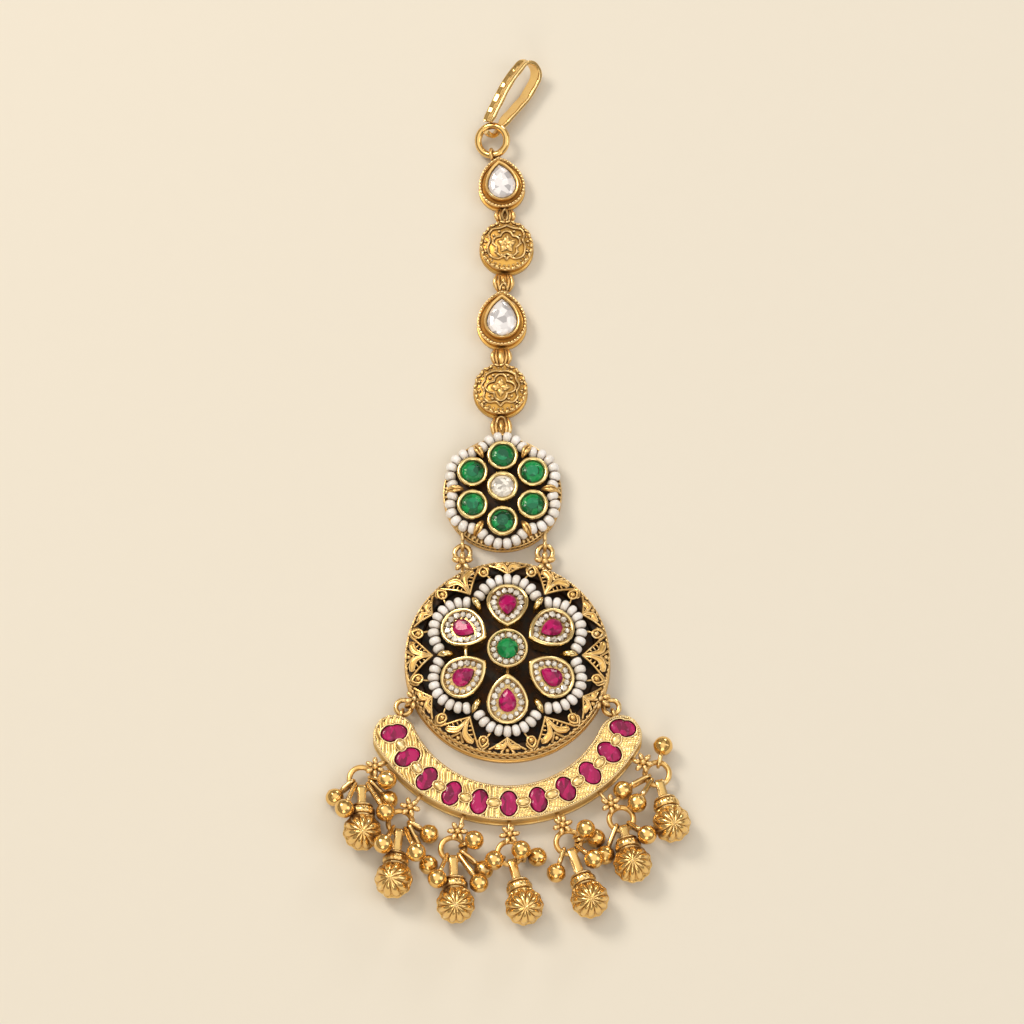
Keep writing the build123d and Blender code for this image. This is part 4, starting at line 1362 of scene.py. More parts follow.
# --- emerald disc
@dataclass
class EmeraldDisc:
    """Small disc: six emeralds round a clear stone, ringed with pearls over a ribbed drum."""

    radius: float = 8.9
    plate_z: float = 2.0
    reach: float = 5.2
    cup_radius: float = 2.35
    stem_radius: float = 1.7
    cup_top: float = 4.3
    hub_top: float = 5.1
    ribs: int = 74
    bezel: float = 0.62
    pearls: PearlString = PearlString(4.87, 3.63, 0.88, 1.39, 6, 2.93)

    def cup(self, bench: Bench, place: Place, top: float) -> None:
        """Add one round cup with a plump bezel, from its stem up to a height."""
        r, e = self.cup_radius, self.bezel
        bench.turned([(self.stem_radius, self.plate_z - 0.2), (r - 0.25, top - 0.9),
                      (r - 0.08, top - 0.75), (r - 0.12, top - 0.62), (r - 0.02, top - 0.42),
                      (r, top - 0.22), (r - 0.04, top - 0.06), (r - 0.14, top + 0.05),
                      (r - 0.28, top + 0.1), (r - 0.44, top + 0.05), (r - e + 0.04, top - 0.08),
                      (r - e, top - 0.28), (r - e, top - 0.95), (0, top - 0.97)],
                     place, 64, ink=1)

    def drum(self, bench: Bench, place: Place) -> None:
        """Add the drum: its foot, ribbed wall, ladder of bars and edge wires."""
        r = self.radius
        bench.turned([(0, 0.02), (r - 0.02, 0.02), (r, 0.18), (r - 0.02, 0.34), (r - 0.16, 0.42),
                      (r - 0.42, 0.5), (r - 0.45, 0.7), (r - 0.45, 1.3), (r - 0.3, 1.5),
                      (r - 0.5, 1.7), (r - 1.3, 1.95), (0, 2.0)], place, 144, ink=2)
        for number in range(self.ribs):
            angle = 360 / self.ribs * number
            jog = 0.06 * noise.noise(Vector((number * 0.9, 0, 3)))
            bar = [polar(angle, r - 1.35, 2.08 + jog), polar(angle, r - 0.6, 1.96 + jog),
                   polar(angle, r - 0.2, 1.6), polar(angle, r - 0.24, 0.55)]
            bench.wire(place.put(Path.through(bar, 9)), 0.21, 8, flat=0.9, across=(0.1, 0.1, 1),
                       square=3)
        for inset, z, tube in ((0.14, 1.66, 0.14), (0.16, 0.5, 0.16), (0.14, 0.14, 0.13)):
            bench.wire(place.put(Path.circle(r - inset, 160, z)), tube, 8, closed=True)

    def leaves(self, bench: Bench, place: Place) -> None:
        """Add the gold leaf and the pin between each two strings of pearls."""
        for angle in range(0, 360, 60):
            for side, size in ((-1.4, 0.36), (2.6, 0.24)):
                path = [polar(angle + side * share, reach, z) for share, reach, z in
                        ((0.3, 5.9, 3.4), (1, 6.7, 3.85), (1.1, 7.5, 3.7), (0.5, 8.3, 2.7))]
                girth = size * (0.3 + 0.7 * np.sin(np.linspace(0.25, pi - 0.1, 20)))
                bench.wire(place.put(Path.through(path, 20)), girth, 12, flat=1.15)
            bench.ball(polar(angle + 0.5, 8.35, 2.4), 0.32, place)

    def build(self) -> None:
        """Make the drum and its cups, the stones, the pearls and the lugs."""
        middle = node_middle("clear_stone") * (1, 1, 0)
        place = Place.turned(*middle[:2])
        bench = Bench()
        self.drum(bench, place)
        bench.turned([(0, 2.0), (7.5, 2.0), (7.55, 2.05), (7.45, 2.12), (0, 2.12)], place, 96, ink=3)
        for angle in range(30, 360, 60):
            self.cup(bench, Place.turned(*place.put(polar(angle, self.reach))[:2]), self.cup_top)
        self.cup(bench, place, self.hub_top)
        self.leaves(bench, place)
        for side in SIDES:
            ring = LINKAGE.ring_piece("disc", side)
            LINKAGE.eye(bench, ring, ring + (0, 1, 0), 2.4)
        bench.finish("emerald_disc_mount", [CAST, BEZEL, ANTIQUE, DARK_INSIDE], "antique_gold",
                     ["emerald_disc_setting"])
        for number in range(6):
            self.stone(f"round_emerald_{number + 1}", [EMERALD, EMERALD_TABLE], "emerald",
                       f"emerald_{number + 1}", self.cup_top, 11 * number)
        self.stone("middle_crystal", [ROUND_CRYSTAL], "clear_stone", "clear_stone", self.hub_top, 0)
        self.pearls.build("emerald_disc_pearl_strings", "emerald_disc_pearls", middle)

    def stone(self, name: str, finishes: Sequence[Finish], slot: str, node: str, top: float,
              turn: float) -> None:
        """Make one round stone.

        Args:
            name: The piece's name.
            finishes: Its finish, and a lighter one for its round table where given, a painted
                highlight.
            slot: The record's material slot.
            node: The frame node that it replaces.
            top: Height of its cup.
            turn: How far it is turned, in degrees.
        """
        bench = Bench()
        place = Place.turned(*node_middle(node)[:2], 0, turn)
        bench.brilliant(place, self.cup_radius - 0.64, top - 0.9, top + 0.12, 10, 0.56)
        # painted highlight: a lighter emerald disc on the table
        if len(finishes) > 1:
            bench.turned([(0.88, top + 0.1), (0.86, top + 0.17), (0, top + 0.18)], place, 36, ink=1)
        bench.finish(name, finishes, slot, [node], flat=True)


# --- large disc
@dataclass
class RubyCups:
    """Six leaning teardrop cups, each a ruby in a bed of paving stones."""

    reach: float = 7.4
    width: float = 6.3
    length: float = 7.65
    top: float = 6.5
    tilt: float = 15.0
    edge: float = 0.58
    ruby_width: float = 2.7
    ruby_length: float = 3.6

    def place(self, number: int) -> Place:
        """Return the plane of a cup's bezel, its +Y towards the disc's middle."""
        out = 30 + 60 * number
        lean = radians(self.tilt)
        normal = polar(out, sin(lean), cos(lean))
        side = polar(out + 90, 1)
        middle = polar(out, self.reach + (self.length - self.width) / 2, self.top)
        return Place(middle, side, np.cross(normal, side), normal)

    def cup(self, bench: Bench, place: Place) -> None:
        """Add one cup with its plump bezel and its tray, from (inset, height) outlines."""
        radius, edge = self.width / 2, self.edge
        deep = [(0.9, -4.3), (0.62, -2.4), (0.3, -1.3), (0.16, -1.1), (0.2, -0.95), (0.03, -0.62),
                (0, -0.34), (0.03, -0.12), (0.12, 0), (0.26, 0.05), (0.43, 0), (edge - 0.03, -0.12),
                (edge, -0.28), (edge + 0.03, -0.62)]
        bench.stack([Path.drop(radius - inset, self.length - radius - 1.5 * inset, z, 84)
                     for inset, z in deep], place, ink=1)

    def paving(self, bench: Bench, place: Place) -> None:
        """Add the ring of small cut stones, slightly uneven as if set by hand."""
        spots = Path.even(Path.drop(2.09, 3.2, -0.42, 300), 15, closed=True)
        for number, spot in enumerate(spots):
            salt = noise.noise(Vector((number * 2.3, *place.origin[:2])))
            normal = (place.z_axis + 0.6 * salt * place.x_axis
                      + 0.3 * sin(number * 2.1) * place.y_axis)
            bench.brilliant(Place.facing(place.put(spot), normal, polar(137 * number, 1)),
                            0.47 + 0.24 * salt, -0.2, 0.3 + 0.2 * salt, 3, 0.45)

    def prongs(self, bench: Bench, place: Place) -> None:
        """Add the gold grains that hold the paving stones."""
        for reach, tip in ((1.62, 2.6), (2.56, 3.86)):
            ring = Path.even(Path.drop(reach, tip, -0.3, 300), 30, closed=True)
            for spot in ring[::2] if reach < 2 else ring:
                bench.ball(spot, 0.1, place, 6, 4)

    def ruby(self, number: int) -> None:
        """Make one teardrop ruby with a flat table."""
        radius = self.ruby_width / 2
        tip = self.ruby_length - radius
        rings = [Path.drop(share * radius, share * tip, z, 16) for share, z in
                 ((0.6, -1), (1, -0.3), (1, -0.2), (0.82, 0.12), (0.58, 0.29))]
        for ring in rings[3:]:
            ring[1::2, :2] *= 0.95
        bench = Bench()
        bench.stack(rings, self.place(number))
        bench.finish(f"teardrop_ruby_{number + 1}", [RUBY], "ruby", [f"ruby_drop_{number + 1}"],
                     flat=True)


@dataclass(frozen=True)
class Palmette:
    """A kind of palmette: its tip's reach, half its width, its leaves' half width, its bars."""

    tip: float
    wide: float
    leaf: float
    bars: int
    foot: ClassVar[float] = 14.9

    @property
    def span(self) -> float:
        """Return its length from its tip to its foot."""
        return self.foot - self.tip


@dataclass
class Filigree:
    """Pierced, gently conical rim of twelve pointed palmettes with scrolls between them."""

    outer: float = 15.1
    valley: Palmette = Palmette(11.25, 3.3, 0.52, 4)
    lobe: Palmette = Palmette(13.0, 2.75, 0.44, 3)

    def spot(self, angle: float, s: float, reach: float, lift: float) -> Array:
        """Return a point of the rim.

        Args:
            angle: Middle of the palmette, in degrees.
            s: Distance sideways from it.
            reach: Distance from the disc's middle.
            lift: Height over the rim's cone.

        Returns:
            The point in millimetres.
        """
        z = 3.7 + min(15.2 - reach, 2.6) * 0.36 + lift
        return polar(angle + degrees(s / reach), reach, z)

    def line(self, angle: float, points: Sequence[Point], count: int) -> Array:
        """Return a smooth curve on the rim through (sideways, reach, lift) points."""
        return np.array([self.spot(angle, *point) for point in Path.through(points, count)])

    def palmette(self, bench: Bench, angle: float, kind: Palmette) -> None:
        """Add one pointed palmette: its border, two curling leaves and ladders of grains."""
        tip, span, wide = kind.tip, kind.span, kind.wide
        self.web(bench, angle, kind)
        for side in (1, -1):
            border = [(0.0, tip, 0.12), (side * 0.3 * wide, tip + 0.3 * span, 0.16),
                      (side * 0.68 * wide, tip + 0.66 * span, 0.12), (side * wide, 14.75, 0.0)]
            bench.wire(self.line(angle, border, 24), 0.19, 10, flat=1.15)
            path = [(side * 0.1, tip + 0.12 * span, 0.2), (side * 0.26, tip + 0.42 * span, 0.34),
                    (side * 0.66, tip + 0.7 * span, 0.38), (side * 0.46 * wide, 14.28, 0.28),
                    (side * 0.7 * wide, 14.46, 0.16)]
            self.leaf(bench, angle, path, kind.leaf)
            self.ladder(bench, angle, kind, side)
        foot = [(-0.95, 14.95, 0.1), (-0.42, 14.35, 0.22), (0.0, 13.9, 0.28), (0.42, 14.35, 0.22),
                (0.95, 14.95, 0.1)]
        bench.wire(self.line(angle, foot, 18), 0.21, 8)
        bench.ball((0, 0, 0), (0.36, 0.36, 0.26),
                   Place.facing(self.spot(angle, 0, 14.65, 0.1), UP), 10, 6)
        rib = [(0.0, tip - 0.05, 0.2), (0.0, tip + 0.35 * span, 0.36), (0.0, tip + 0.6 * span, 0.3)]
        bench.wire(self.line(angle, rib, 12), np.linspace(0.2, 0.1, 12), 8)

    def web(self, bench: Bench, angle: float, kind: Palmette) -> None:
        """Add the thin back plate that a palmette is worked on."""
        tip, span, wide = kind.tip, kind.span, kind.wide
        half = [(0.55 * wide * 0.66, tip + 0.34 * span), (0.7 * wide, tip + 0.7 * span),
                (wide, 14.85), (0.5 * wide, 15.05)]
        outline = [(0.0, tip + 0.1)] + half + [(-s, r) for s, r in reversed(half)]
        bench.stack([[self.spot(angle, s, r, lift) for s, r in outline] for lift in (-0.7, -0.34)],
                    ink=3)

    def leaf(self, bench: Bench, angle: float, path: Sequence[Point], half: float) -> None:
        """Add a plump blunt leaf with a raised rib along each edge.

        Args:
            bench: Where it is made.
            angle: Middle of its palmette, in degrees.
            path: Its (sideways, reach, lift) points, from the tip.
            half: Half its greatest width.
        """
        line = self.line(angle, path, 26)
        girth = np.interp(np.linspace(0, 1, 26), [0, 0.3, 0.62, 0.86, 1],
                          [0.1, 0.5 * half, half, half, 0.55 * half])
        bench.wire(line, girth, 14, flat=0.62)
        aside = np.cross(units(np.gradient(line, axis=0)), UP)
        for sign in (1, -1):
            rib = line + sign * aside * (girth * 0.78)[:, None] + UP * (girth * 0.42)[:, None]
            bench.wire(rib, 0.095, 6)

    def ladder(self, bench: Bench, angle: float, kind: Palmette, side: int) -> None:
        """Add the row of little bars between a leaf and its palmette's border.

        Args:
            bench: Where they are made.
            angle: Middle of the palmette, in degrees.
            kind: The palmette's kind.
            side: 1 or -1, the half that they stand in.
        """
        for number in range(kind.bars):
            t = 0.27 + 0.6 * (number + 0.4) / kind.bars
            outer = kind.wide * np.interp(t, [0, 0.3, 0.66, 1], [0, 0.3, 0.68, 1.0])
            inner = np.interp(t, [0.1, 0.42, 0.7, 0.9], [0.25, 0.5, 0.95, 0.4 * kind.wide + 0.5])
            length = outer - inner - 0.12
            if length >= 0.1:
                reach = kind.tip + t * kind.span
                middle = self.spot(angle, side * (outer + inner) / 2, reach, 0.16)
                bar = Place.facing(middle, UP, polar(angle - side * 52, 1))
                bench.ball((0, 0, 0), (0.4 * length + 0.1, 0.15, 0.22), bar, 10, 6)

    def scroll(self, bench: Bench, angle: float) -> None:
        """Add the scroll between two palmettes: a loop round a grain, on two curling stems."""
        middle = self.spot(angle, 0, 13.75, 0.16)
        place = Place.facing(middle, unit(polar(angle, 0.15, 1)), polar(angle, 1))
        loop = Path.drop(0.62, 0.98, 0.0, 30)[:, [1, 0, 2]]
        bench.wire(place.put(loop), 0.19, 10, closed=True, across=place.z_axis)
        bench.ball((-0.02, 0, 0.12), (0.4, 0.4, 0.36), place, 16, 9)
        bench.ball((0, 0, -0.16), (0.55, 0.55, 0.12), place, 12, 5)
        for side in (1, -1):
            stem = [(side * 0.55, 13.6, 0.1), (side * 0.85, 14.15, 0.1), (side * 0.5, 14.65, 0.05),
                    (side * 0.1, 14.95, 0.0)]
            bench.wire(self.line(angle, stem, 18), np.linspace(0.1, 0.2, 18), 8, flat=1.1)

    def edge(self, bench: Bench) -> None:
        """Add the rim's edge: a roped band, two leafy rows down the wall and plain wires."""
        r = self.outer
        bench.beads(Path.circle(r - 0.02, 104, 3.72), (0.36, 0.17, 0.18), 0, 24, HOME, 8, 6)
        bench.wire(Path.circle(r + 0.02, 180, 3.42), 0.2, 8, closed=True)
        for row, (z, skew) in enumerate(((2.75, 34), (1.9, -34))):
            skew = radians(skew)
            for number in range(88):
                angle = 360 / 88 * (number + row * 0.5)
                along = unit(polar(angle + 90, 1) * cos(skew) + UP * sin(skew))
                place = Place.facing(polar(angle, r - 0.02, z), along, polar(angle, 1))
                bench.ball((0, 0, 0), (0.2, 0.24, 0.52), place, 8, 6)
        bench.wire(Path.circle(r + 0.05, 180, 1.2), 0.17, 8, closed=True)

    def build(self, bench: Bench) -> None:
        """Add the whole rim to a piece."""
        for number in range(12):
            self.palmette(bench, 30 * number, self.lobe if number % 2 else self.valley)
            self.scroll(bench, 30 * number + 15)
        self.edge(bench)


@dataclass
class LargeDisc:
    """Large disc: six ruby cups round a green stone, pearls, and a pierced filigree rim."""

    radius: float = 15.4
    dish_radius: float = 13.3
    dish_z: float = 2.6
    hub_radius: float = 3.08
    hub_top: float = 8.4
    hub_stone: float = 1.62
    cups: RubyCups = field(default_factory=RubyCups)
    rim: Filigree = field(default_factory=Filigree)
    pearls: PearlString = PearlString(7.3, 4.7, 0.92, 1.29, 9, 4.85)

    def drum(self, bench: Bench) -> None:
        """Add the drum's outer wall, its plain foot and its near-black inside."""
        r = self.radius
        bench.turned([(0, 0.02), (r - 0.02, 0.02), (r, 0.25), (r - 0.05, 0.6), (r - 0.3, 0.78),
                      (r - 0.42, 1.0), (r - 0.42, 3.2), (r - 0.35, 3.4), (r - 0.6, 3.42),
                      (r - 0.75, 3.4)], HOME, 180, ink=2)
        r, z = self.dish_radius, self.dish_z
        bench.turned([(self.radius - 0.74, 3.42), (14.0, 3.5), (13.5, 3.55), (r, 3.4),
                      (r - 0.05, z + 0.2), (r - 0.2, z), (0, z)], HOME, 120, ink=3)
        top = self.pearls.z - self.pearls.radius
        for out in range(30, 390, 60):
            rail = np.array([polar(out, self.pearls.reach) + polar(out + a, self.pearls.arc)
                             for a in np.linspace(-64, 64, 30)])
            bench.wire(rail + (0, 0, (top + 2.4) / 2), 0.2, 8, flat=(top - 2.5) / 0.4, square=5,
                       ink=3)
            bench.wire(rail + (0, 0, top - 0.06), 0.24, 8)

    def hub(self, bench: Bench) -> None:
        """Add the round middle cup on its stem."""
        r, t = self.hub_radius, self.hub_top
        bench.turned([(2.2, self.dish_z - 0.05), (2.45, 5.2), (r - 0.3, t - 1.4),
                      (r - 0.14, t - 1.2), (r - 0.18, t - 1.05), (r - 0.04, t - 0.7),
                      (r, t - 0.35), (r - 0.05, t - 0.1), (r - 0.16, t), (r - 0.3, t - 0.01),
                      (r - 0.42, t - 0.12), (r - 0.46, t - 0.3), (r - 0.48, t - 0.62),
                      (0, t - 0.64)], HOME, 84, ink=1)
        for angle in range(8, 368, 60):
            post = [polar(angle, 2.62, 6.6), polar(angle, 2.5, 5.6), polar(angle, 2.42, 4.4)]
            bench.wire(post, 0.13, 6, ink=1)

    def rondelles(self, bench: Bench) -> None:
        """Add the gold rondelle that parts each two strings of pearls."""
        girth = np.sin(np.linspace(0.15, pi - 0.15, 20)) * 0.5
        for angle in range(0, 360, 60):
            place = Place.facing(polar(angle, 9.0, 4.95), polar(angle + 84, 1), polar(angle, 1))
            bench.ball((0, 0, 0), (1.08, 1.0, 0.42), place, 28, 18, ink=1)
            bench.wire([polar(angle, 9.0, 2.6), polar(angle, 9.0, 4.4)], 0.3, 10, ink=1)
            leaf = [polar(angle, reach, z) for reach, z in
                    ((7.7, 4.9), (8.5, 5.5), (9.2, 5.75), (9.9, 5.5), (10.6, 4.9))]
            bench.wire(Path.through(leaf, 20), girth, 16, ink=1)

    def pins(self, bench: Bench) -> None:
        """Add the pegs between cups and the fine wires from the pearls to the rim."""
        bench.wire([(-6.2, 1.5, 5.9), (-6.2, 0, 5.95), (-6.2, -1.5, 5.9)], 0.3, 12, ink=1)
        for side in (1, -1):
            bench.wire([(0, side * 2.4, 5.9), (0, side * 4.4, 5.9)], 0.28, 12, ink=1)
        for base in range(30, 390, 60):
            for lean in (-11.5, 11.5):
                pin = [polar(base + lean, 11.6, 4.2), polar(base + lean * 1.04, 12.5, 4.5),
                       polar(base + lean * 1.2, 13.3, 4.35)]
                bench.wire(Path.through(pin, 12), np.linspace(0.16, 0.12, 12), 8)
                bench.ball(polar(base + lean * 1.2, 13.3, 4.4), 0.24)

    def lugs(self, bench: Bench) -> None:
        """Add the four eyes at the edge, each with a post and a small flower."""
        for side in SIDES:
            ring = node_middle(f"disc_ring_{side}")
            end = LINKAGE.eye(bench, ring, ring - (0, 1, 0), 2.4)
            bench.wire([end, (end[0], end[1], 3.2)], 0.25, 8)
            bench.flower(Place.facing((end[0], end[1] - 0.1, 3.35), (0, 0.1, 1)), 5, 0.98, 0.54)
        for side in SIDES:
            ring = LINKAGE.ring_piece("crescent", side)
            end = LINKAGE.eye(bench, ring, ring * (0, 0, 1), 0.4)
            bench.wire([end, (end[0], end[1], 3.2)], 0.25, 8)
            bench.flower(Place.facing((end[0], end[1], 3.3), UP), 6, 0.98, 0.5)

    def build(self) -> None:
        """Make the drum, rim and cups, the stones, the paving and the pearls."""
        bench = Bench()
        self.drum(bench)
        self.rim.build(bench)
        self.rondelles(bench)
        self.pins(bench)
        self.lugs(bench)
        bench.finish("large_disc_filigree", [CAST, BEZEL, ANTIQUE, DARK_INSIDE], "antique_gold",
                     ["large_disc_setting"])
        cups, paving = Bench(), Bench()
        self.hub(cups)
        for number in range(6):
            place = self.cups.place(number)
            self.cups.cup(cups, place)
            self.cups.prongs(cups, place)
            self.cups.paving(paving, place)
            self.cups.ruby(number)
        self.hub_paving(paving, cups)
        cups.finish("large_disc_cups", [CAST, BEZEL], "antique_gold")
        paving.finish("paving_stone_rings", [PAVING], "clear_stone", flat=True)
        bench = Bench()
        bench.brilliant(Place.turned(0, 0, 0, 13), self.hub_stone - 0.03, self.hub_top - 1.2,
                        self.hub_top + 0.33, 8, 0.55)
        bench.finish("middle_green_stone", [EMERALD], "emerald", ["hub_emerald"], flat=True)
        self.pearls.build("large_disc_pearl_strings", "large_disc_pearls", HOME.origin)

    def hub_paving(self, paving: Bench, cups: Bench) -> None:
        """Add the ring of paving stones round the green stone, and its grains."""
        for number in range(14):
            angle = 360 / 14 * number + 6
            salt = sin(number * 2.7)
            place = Place.facing(polar(angle, 2.12, self.hub_top - 0.42),
                                 (0.2 * salt, 0.15 * cos(number * 1.9), 1))
            paving.brilliant(place, 0.44 + 0.03 * salt, -0.16, 0.32, 4, 0.5)
            cups.ball(polar(angle + 12.8, 2.54, self.hub_top - 0.28), 0.1, HOME, 6, 4)
            cups.ball(polar(angle + 12.8, 1.72, self.hub_top - 0.26), 0.09, HOME, 6, 4)


# --- crescent
@dataclass(frozen=True)
class OvalRuby:
    """One oval ruby of the crescent: its middle and the turn of its long side."""

    x: float
    y: float
    turn: float


@dataclass
class Crescent:
    """Flat crescent with eleven rubies, milled edges, and a mount for every cluster."""

    outer_y: float = -3.0
    outer_radius: float = 22.25
    inner_y: float = -4.65
    inner_radius: float = 15.15
    end: tuple[float, float] = (16.9, -11.8)
    end_radius: float = 3.2
    top: float = 2.92
    ruby_long: float = 1.925
    ruby_short: float = 1.325
    waist: float = 0.2
    steps: int = 430
    across: int = 66
    rubies: Sequence[OvalRuby] = tuple(OvalRuby(*row) for row in (
        (-16.9, -11.6, 10), (-14.9, -15.4, 25), (-12.0, -18.8, 55), (-8.3, -21.1, 65),
        (-4.2, -22.4, 80), (0.2, -22.7, 90), (4.6, -22.1, 100), (8.7, -20.4, 115),
        (12.3, -17.9, 130), (15.2, -14.6, 145), (17.2, -10.8, 168)))

    # --- outline
    def ribs(self, steps: int) -> tuple[Array, Array]:
        """Return the ends of lines across the band, from left to right.

        Args:
            steps: How many lines stand between the rounded ends.

        Returns:
            The flat inner ends and the flat outer ends.
        """
        out = unit(np.subtract(self.end, (0, self.outer_y)))
        inn = unit(np.subtract(self.end, (0, self.inner_y)))
        share = np.linspace(-1, 1, steps)
        down = -pi / 2
        outer_angle = down + share * (atan2(out[1], out[0]) - down)
        inner_angle = down + share * (atan2(inn[1], inn[0]) - down)
        outer = rim(self.outer_radius, outer_angle) + (0, self.outer_y)
        inner = rim(self.inner_radius, inner_angle) + (0, self.inner_y)
        middle = (outer[-1] + inner[-1]) / 2
        half = outer[-1] - middle
        ahead = unit((-(out + inn)[1], (out + inn)[0]))
        turn = np.linspace(0, pi / 2, steps // 9 + 2)[1:-1, None]
        spine = middle + ahead * self.end_radius * np.sin(turn)
        outer_cap = spine + half * np.cos(turn)
        inner_cap = spine - half * np.cos(turn)
        return (np.vstack([(inner_cap * (-1, 1))[::-1], inner, inner_cap]),
                np.vstack([(outer_cap * (-1, 1))[::-1], outer, outer_cap]))

    def edge(self, inset: float, z: float) -> Array:
        """Return the closed outline at a height, drawn in by an inset."""
        inner, outer = self.ribs(300)
        line = Path.even(lifted(np.vstack([outer, inner[::-1]]), z), 600, closed=True)
        ahead = np.roll(line, -1, axis=0) - np.roll(line, 1, axis=0)
        inward = lifted(np.stack([-ahead[:, 1], ahead[:, 0]], 1))
        return line + inset * inward / np.linalg.norm(inward, axis=1)[:, None]

    # --- surface
    def relief(self, x: Array, y: Array) -> Array:
        """Return the height of the tooled face: wavy ridges at the left, stipple at the right."""
        ridge = np.sin(2 * pi * (x + 0.26 * np.sin(1.1 * y + 0.3 * x) + 0.07 * np.sin(3.1 * y)) / 0.86)
        ridge = np.sign(ridge) * np.abs(ridge) ** 0.7
        weave = (np.sin(2 * pi * (x * 0.8 + y * 0.6) / 0.66 + 1.3 * np.sin(y * 1.7))
                 * np.sin(2 * pi * (y * 0.8 - x * 0.6) / 0.58 + 1.1 * np.sin(x * 1.9)))
        swirl = np.sin(2 * pi * (y + 0.35 * np.sin(x * 1.1)) / 0.95)
        left = np.clip((2.0 - x) / 5.0, 0.0, 1.0)
        return 0.11 * ridge * left + (1 - left) * (0.085 * weave + 0.035 * swirl)

    def ruby_outline(self, row: OvalRuby, grow: float, z: float) -> Array:
        """Return a ruby's waisted outline.

        Args:
            row: Where the ruby is.
            grow: How far the outline lies outside the ruby's own.
            z: Its height.

        Returns:
            The closed outline.
        """
        outline = Path.wavy(lambda a: oval(a, self.ruby_long, self.ruby_short)
                            - self.waist * np.exp(-(np.cos(a) / 0.3) ** 2) + grow, 72)
        return Place.turned(row.x, row.y, z, row.turn).put(outline)

    def pockets(self, x: Array, y: Array) -> Array:
        """Return how far each point lies inside the nearest ruby's pocket, from 0 to 1."""
        deepest = np.zeros_like(x)
        for row in self.rubies:
            c, s, _ = polar(row.turn, 1)
            along = (x - row.x) * c + (y - row.y) * s
            aside = -(x - row.x) * s + (y - row.y) * c
            share = np.hypot(along / (self.ruby_long + 0.14), aside / (self.ruby_short + 0.1))
            deepest = np.maximum(deepest, np.clip((1.06 - share) / 0.08, 0, 1))
        return deepest

    def face(self, bench: Bench) -> None:
        """Add the tooled upper face, its pockets, and the flat back."""
        inner, outer = [side[:, None, :] for side in self.ribs(self.steps)]
        flat = inner + (outer - inner) * np.linspace(0.035, 0.965, self.across)[:, None]
        x, y = flat[..., 0], flat[..., 1]
        z = self.top + self.relief(x, y) - 0.72 * self.pockets(x, y)
        bench.grid(np.stack([x, y, z], -1), wrap_columns=False)
        flat = inner + (outer - inner) * np.linspace(0, 1, 5)[:, None]
        back = np.concatenate([flat, np.full_like(flat[..., :1], 0.02)], -1)
        bench.grid(back, wrap_columns=False)

    def wall(self, bench: Bench) -> None:
        """Add the wall with its foot and shoulder, and the milled grains along both edges."""
        rows = [(0.02, 0.02), (0, 0.2), (0.02, 0.42), (0.16, 0.5), (0.17, 2.35), (0.04, 2.45),
                (0, 2.62), (0.02, 2.82), (0.1, 2.93), (0.2, 2.96), (0.3, 2.9), (0.36, 2.7)]
        bench.grid(np.array([self.edge(inset, z) for inset, z in rows]))
        line = Path.even(self.edge(0.3, 2.97), 310, closed=True)
        bench.beads(line, (0.17, 0.14, 0.13), 0, 0, HOME, 7, 5)

    def settings(self, bench: Bench) -> None:
        """Add the lip round every ruby and the gold ovals between them."""
        for row in self.rubies:
            bench.wire(self.ruby_outline(row, 0.23, self.top + 0.02), 0.13, 8, closed=True,
                       flat=0.9)
        spots = [np.array([r.x, r.y]) for r in self.rubies]
        for first, second in zip(spots, spots[1:]):
            run = second - first
            place = Place.facing((*(first + second) / 2, self.top + 0.08), UP, (*unit(run), 0))
            long = min(0.95, np.linalg.norm(run) / 2 - 1.26)
            bench.ball((0, 0, 0), (long, 0.66, 0.4), place, 28, 12)
            bench.wire(place.put(Path.wavy(lambda a, k=long: oval(a, k + 0.12, 0.78), 36)), 0.1, 8,
                       closed=True)

    # --- pieces
    def build(self) -> None:
        """Make the plate, its cluster mounts and its rubies."""
        bench = Bench()
        self.face(bench)
        self.wall(bench)
        self.settings(bench)
        for row in self.rubies:
            rings = [self.ruby_outline(row, grow, z) for grow, z in ((-0.1, 2.0), (0.13, 2.3))]
            bench.stack(rings, ink=1)
        bench.finish("ruby_crescent", [PALE, DARK_INSIDE], "crescent_gold", ["crescent"], 55.0)
        mounts = Bench()
        for sign, side in ((-1, "left"), (1, "right")):
            ring = node_middle(f"crescent_ring_{side}")
            LINKAGE.eye(mounts, ring, (sign * self.end[0], self.end[1], ring[2]), 0.5)
        for row in CLUSTERS:
            row.mount(mounts)
        mounts.finish("cluster_mounts", [ANTIQUE], "antique_gold")
        stones = Bench()
        for number, row in enumerate(self.rubies):
            lean = 0.04 * sin(number * 2.2)
            stones.stack([self.ruby_outline(row, grow, z) for grow, z in
                          ((-0.3, 2.25), (-0.06, 2.5), (-0.02, 2.86), (-0.1, 2.99),
                           (-0.3, 3.07 + lean), (-0.62, 3.1 + lean))])
        stones.finish("oval_rubies", [RUBY_OVAL], "ruby", ["crescent_rubies"])


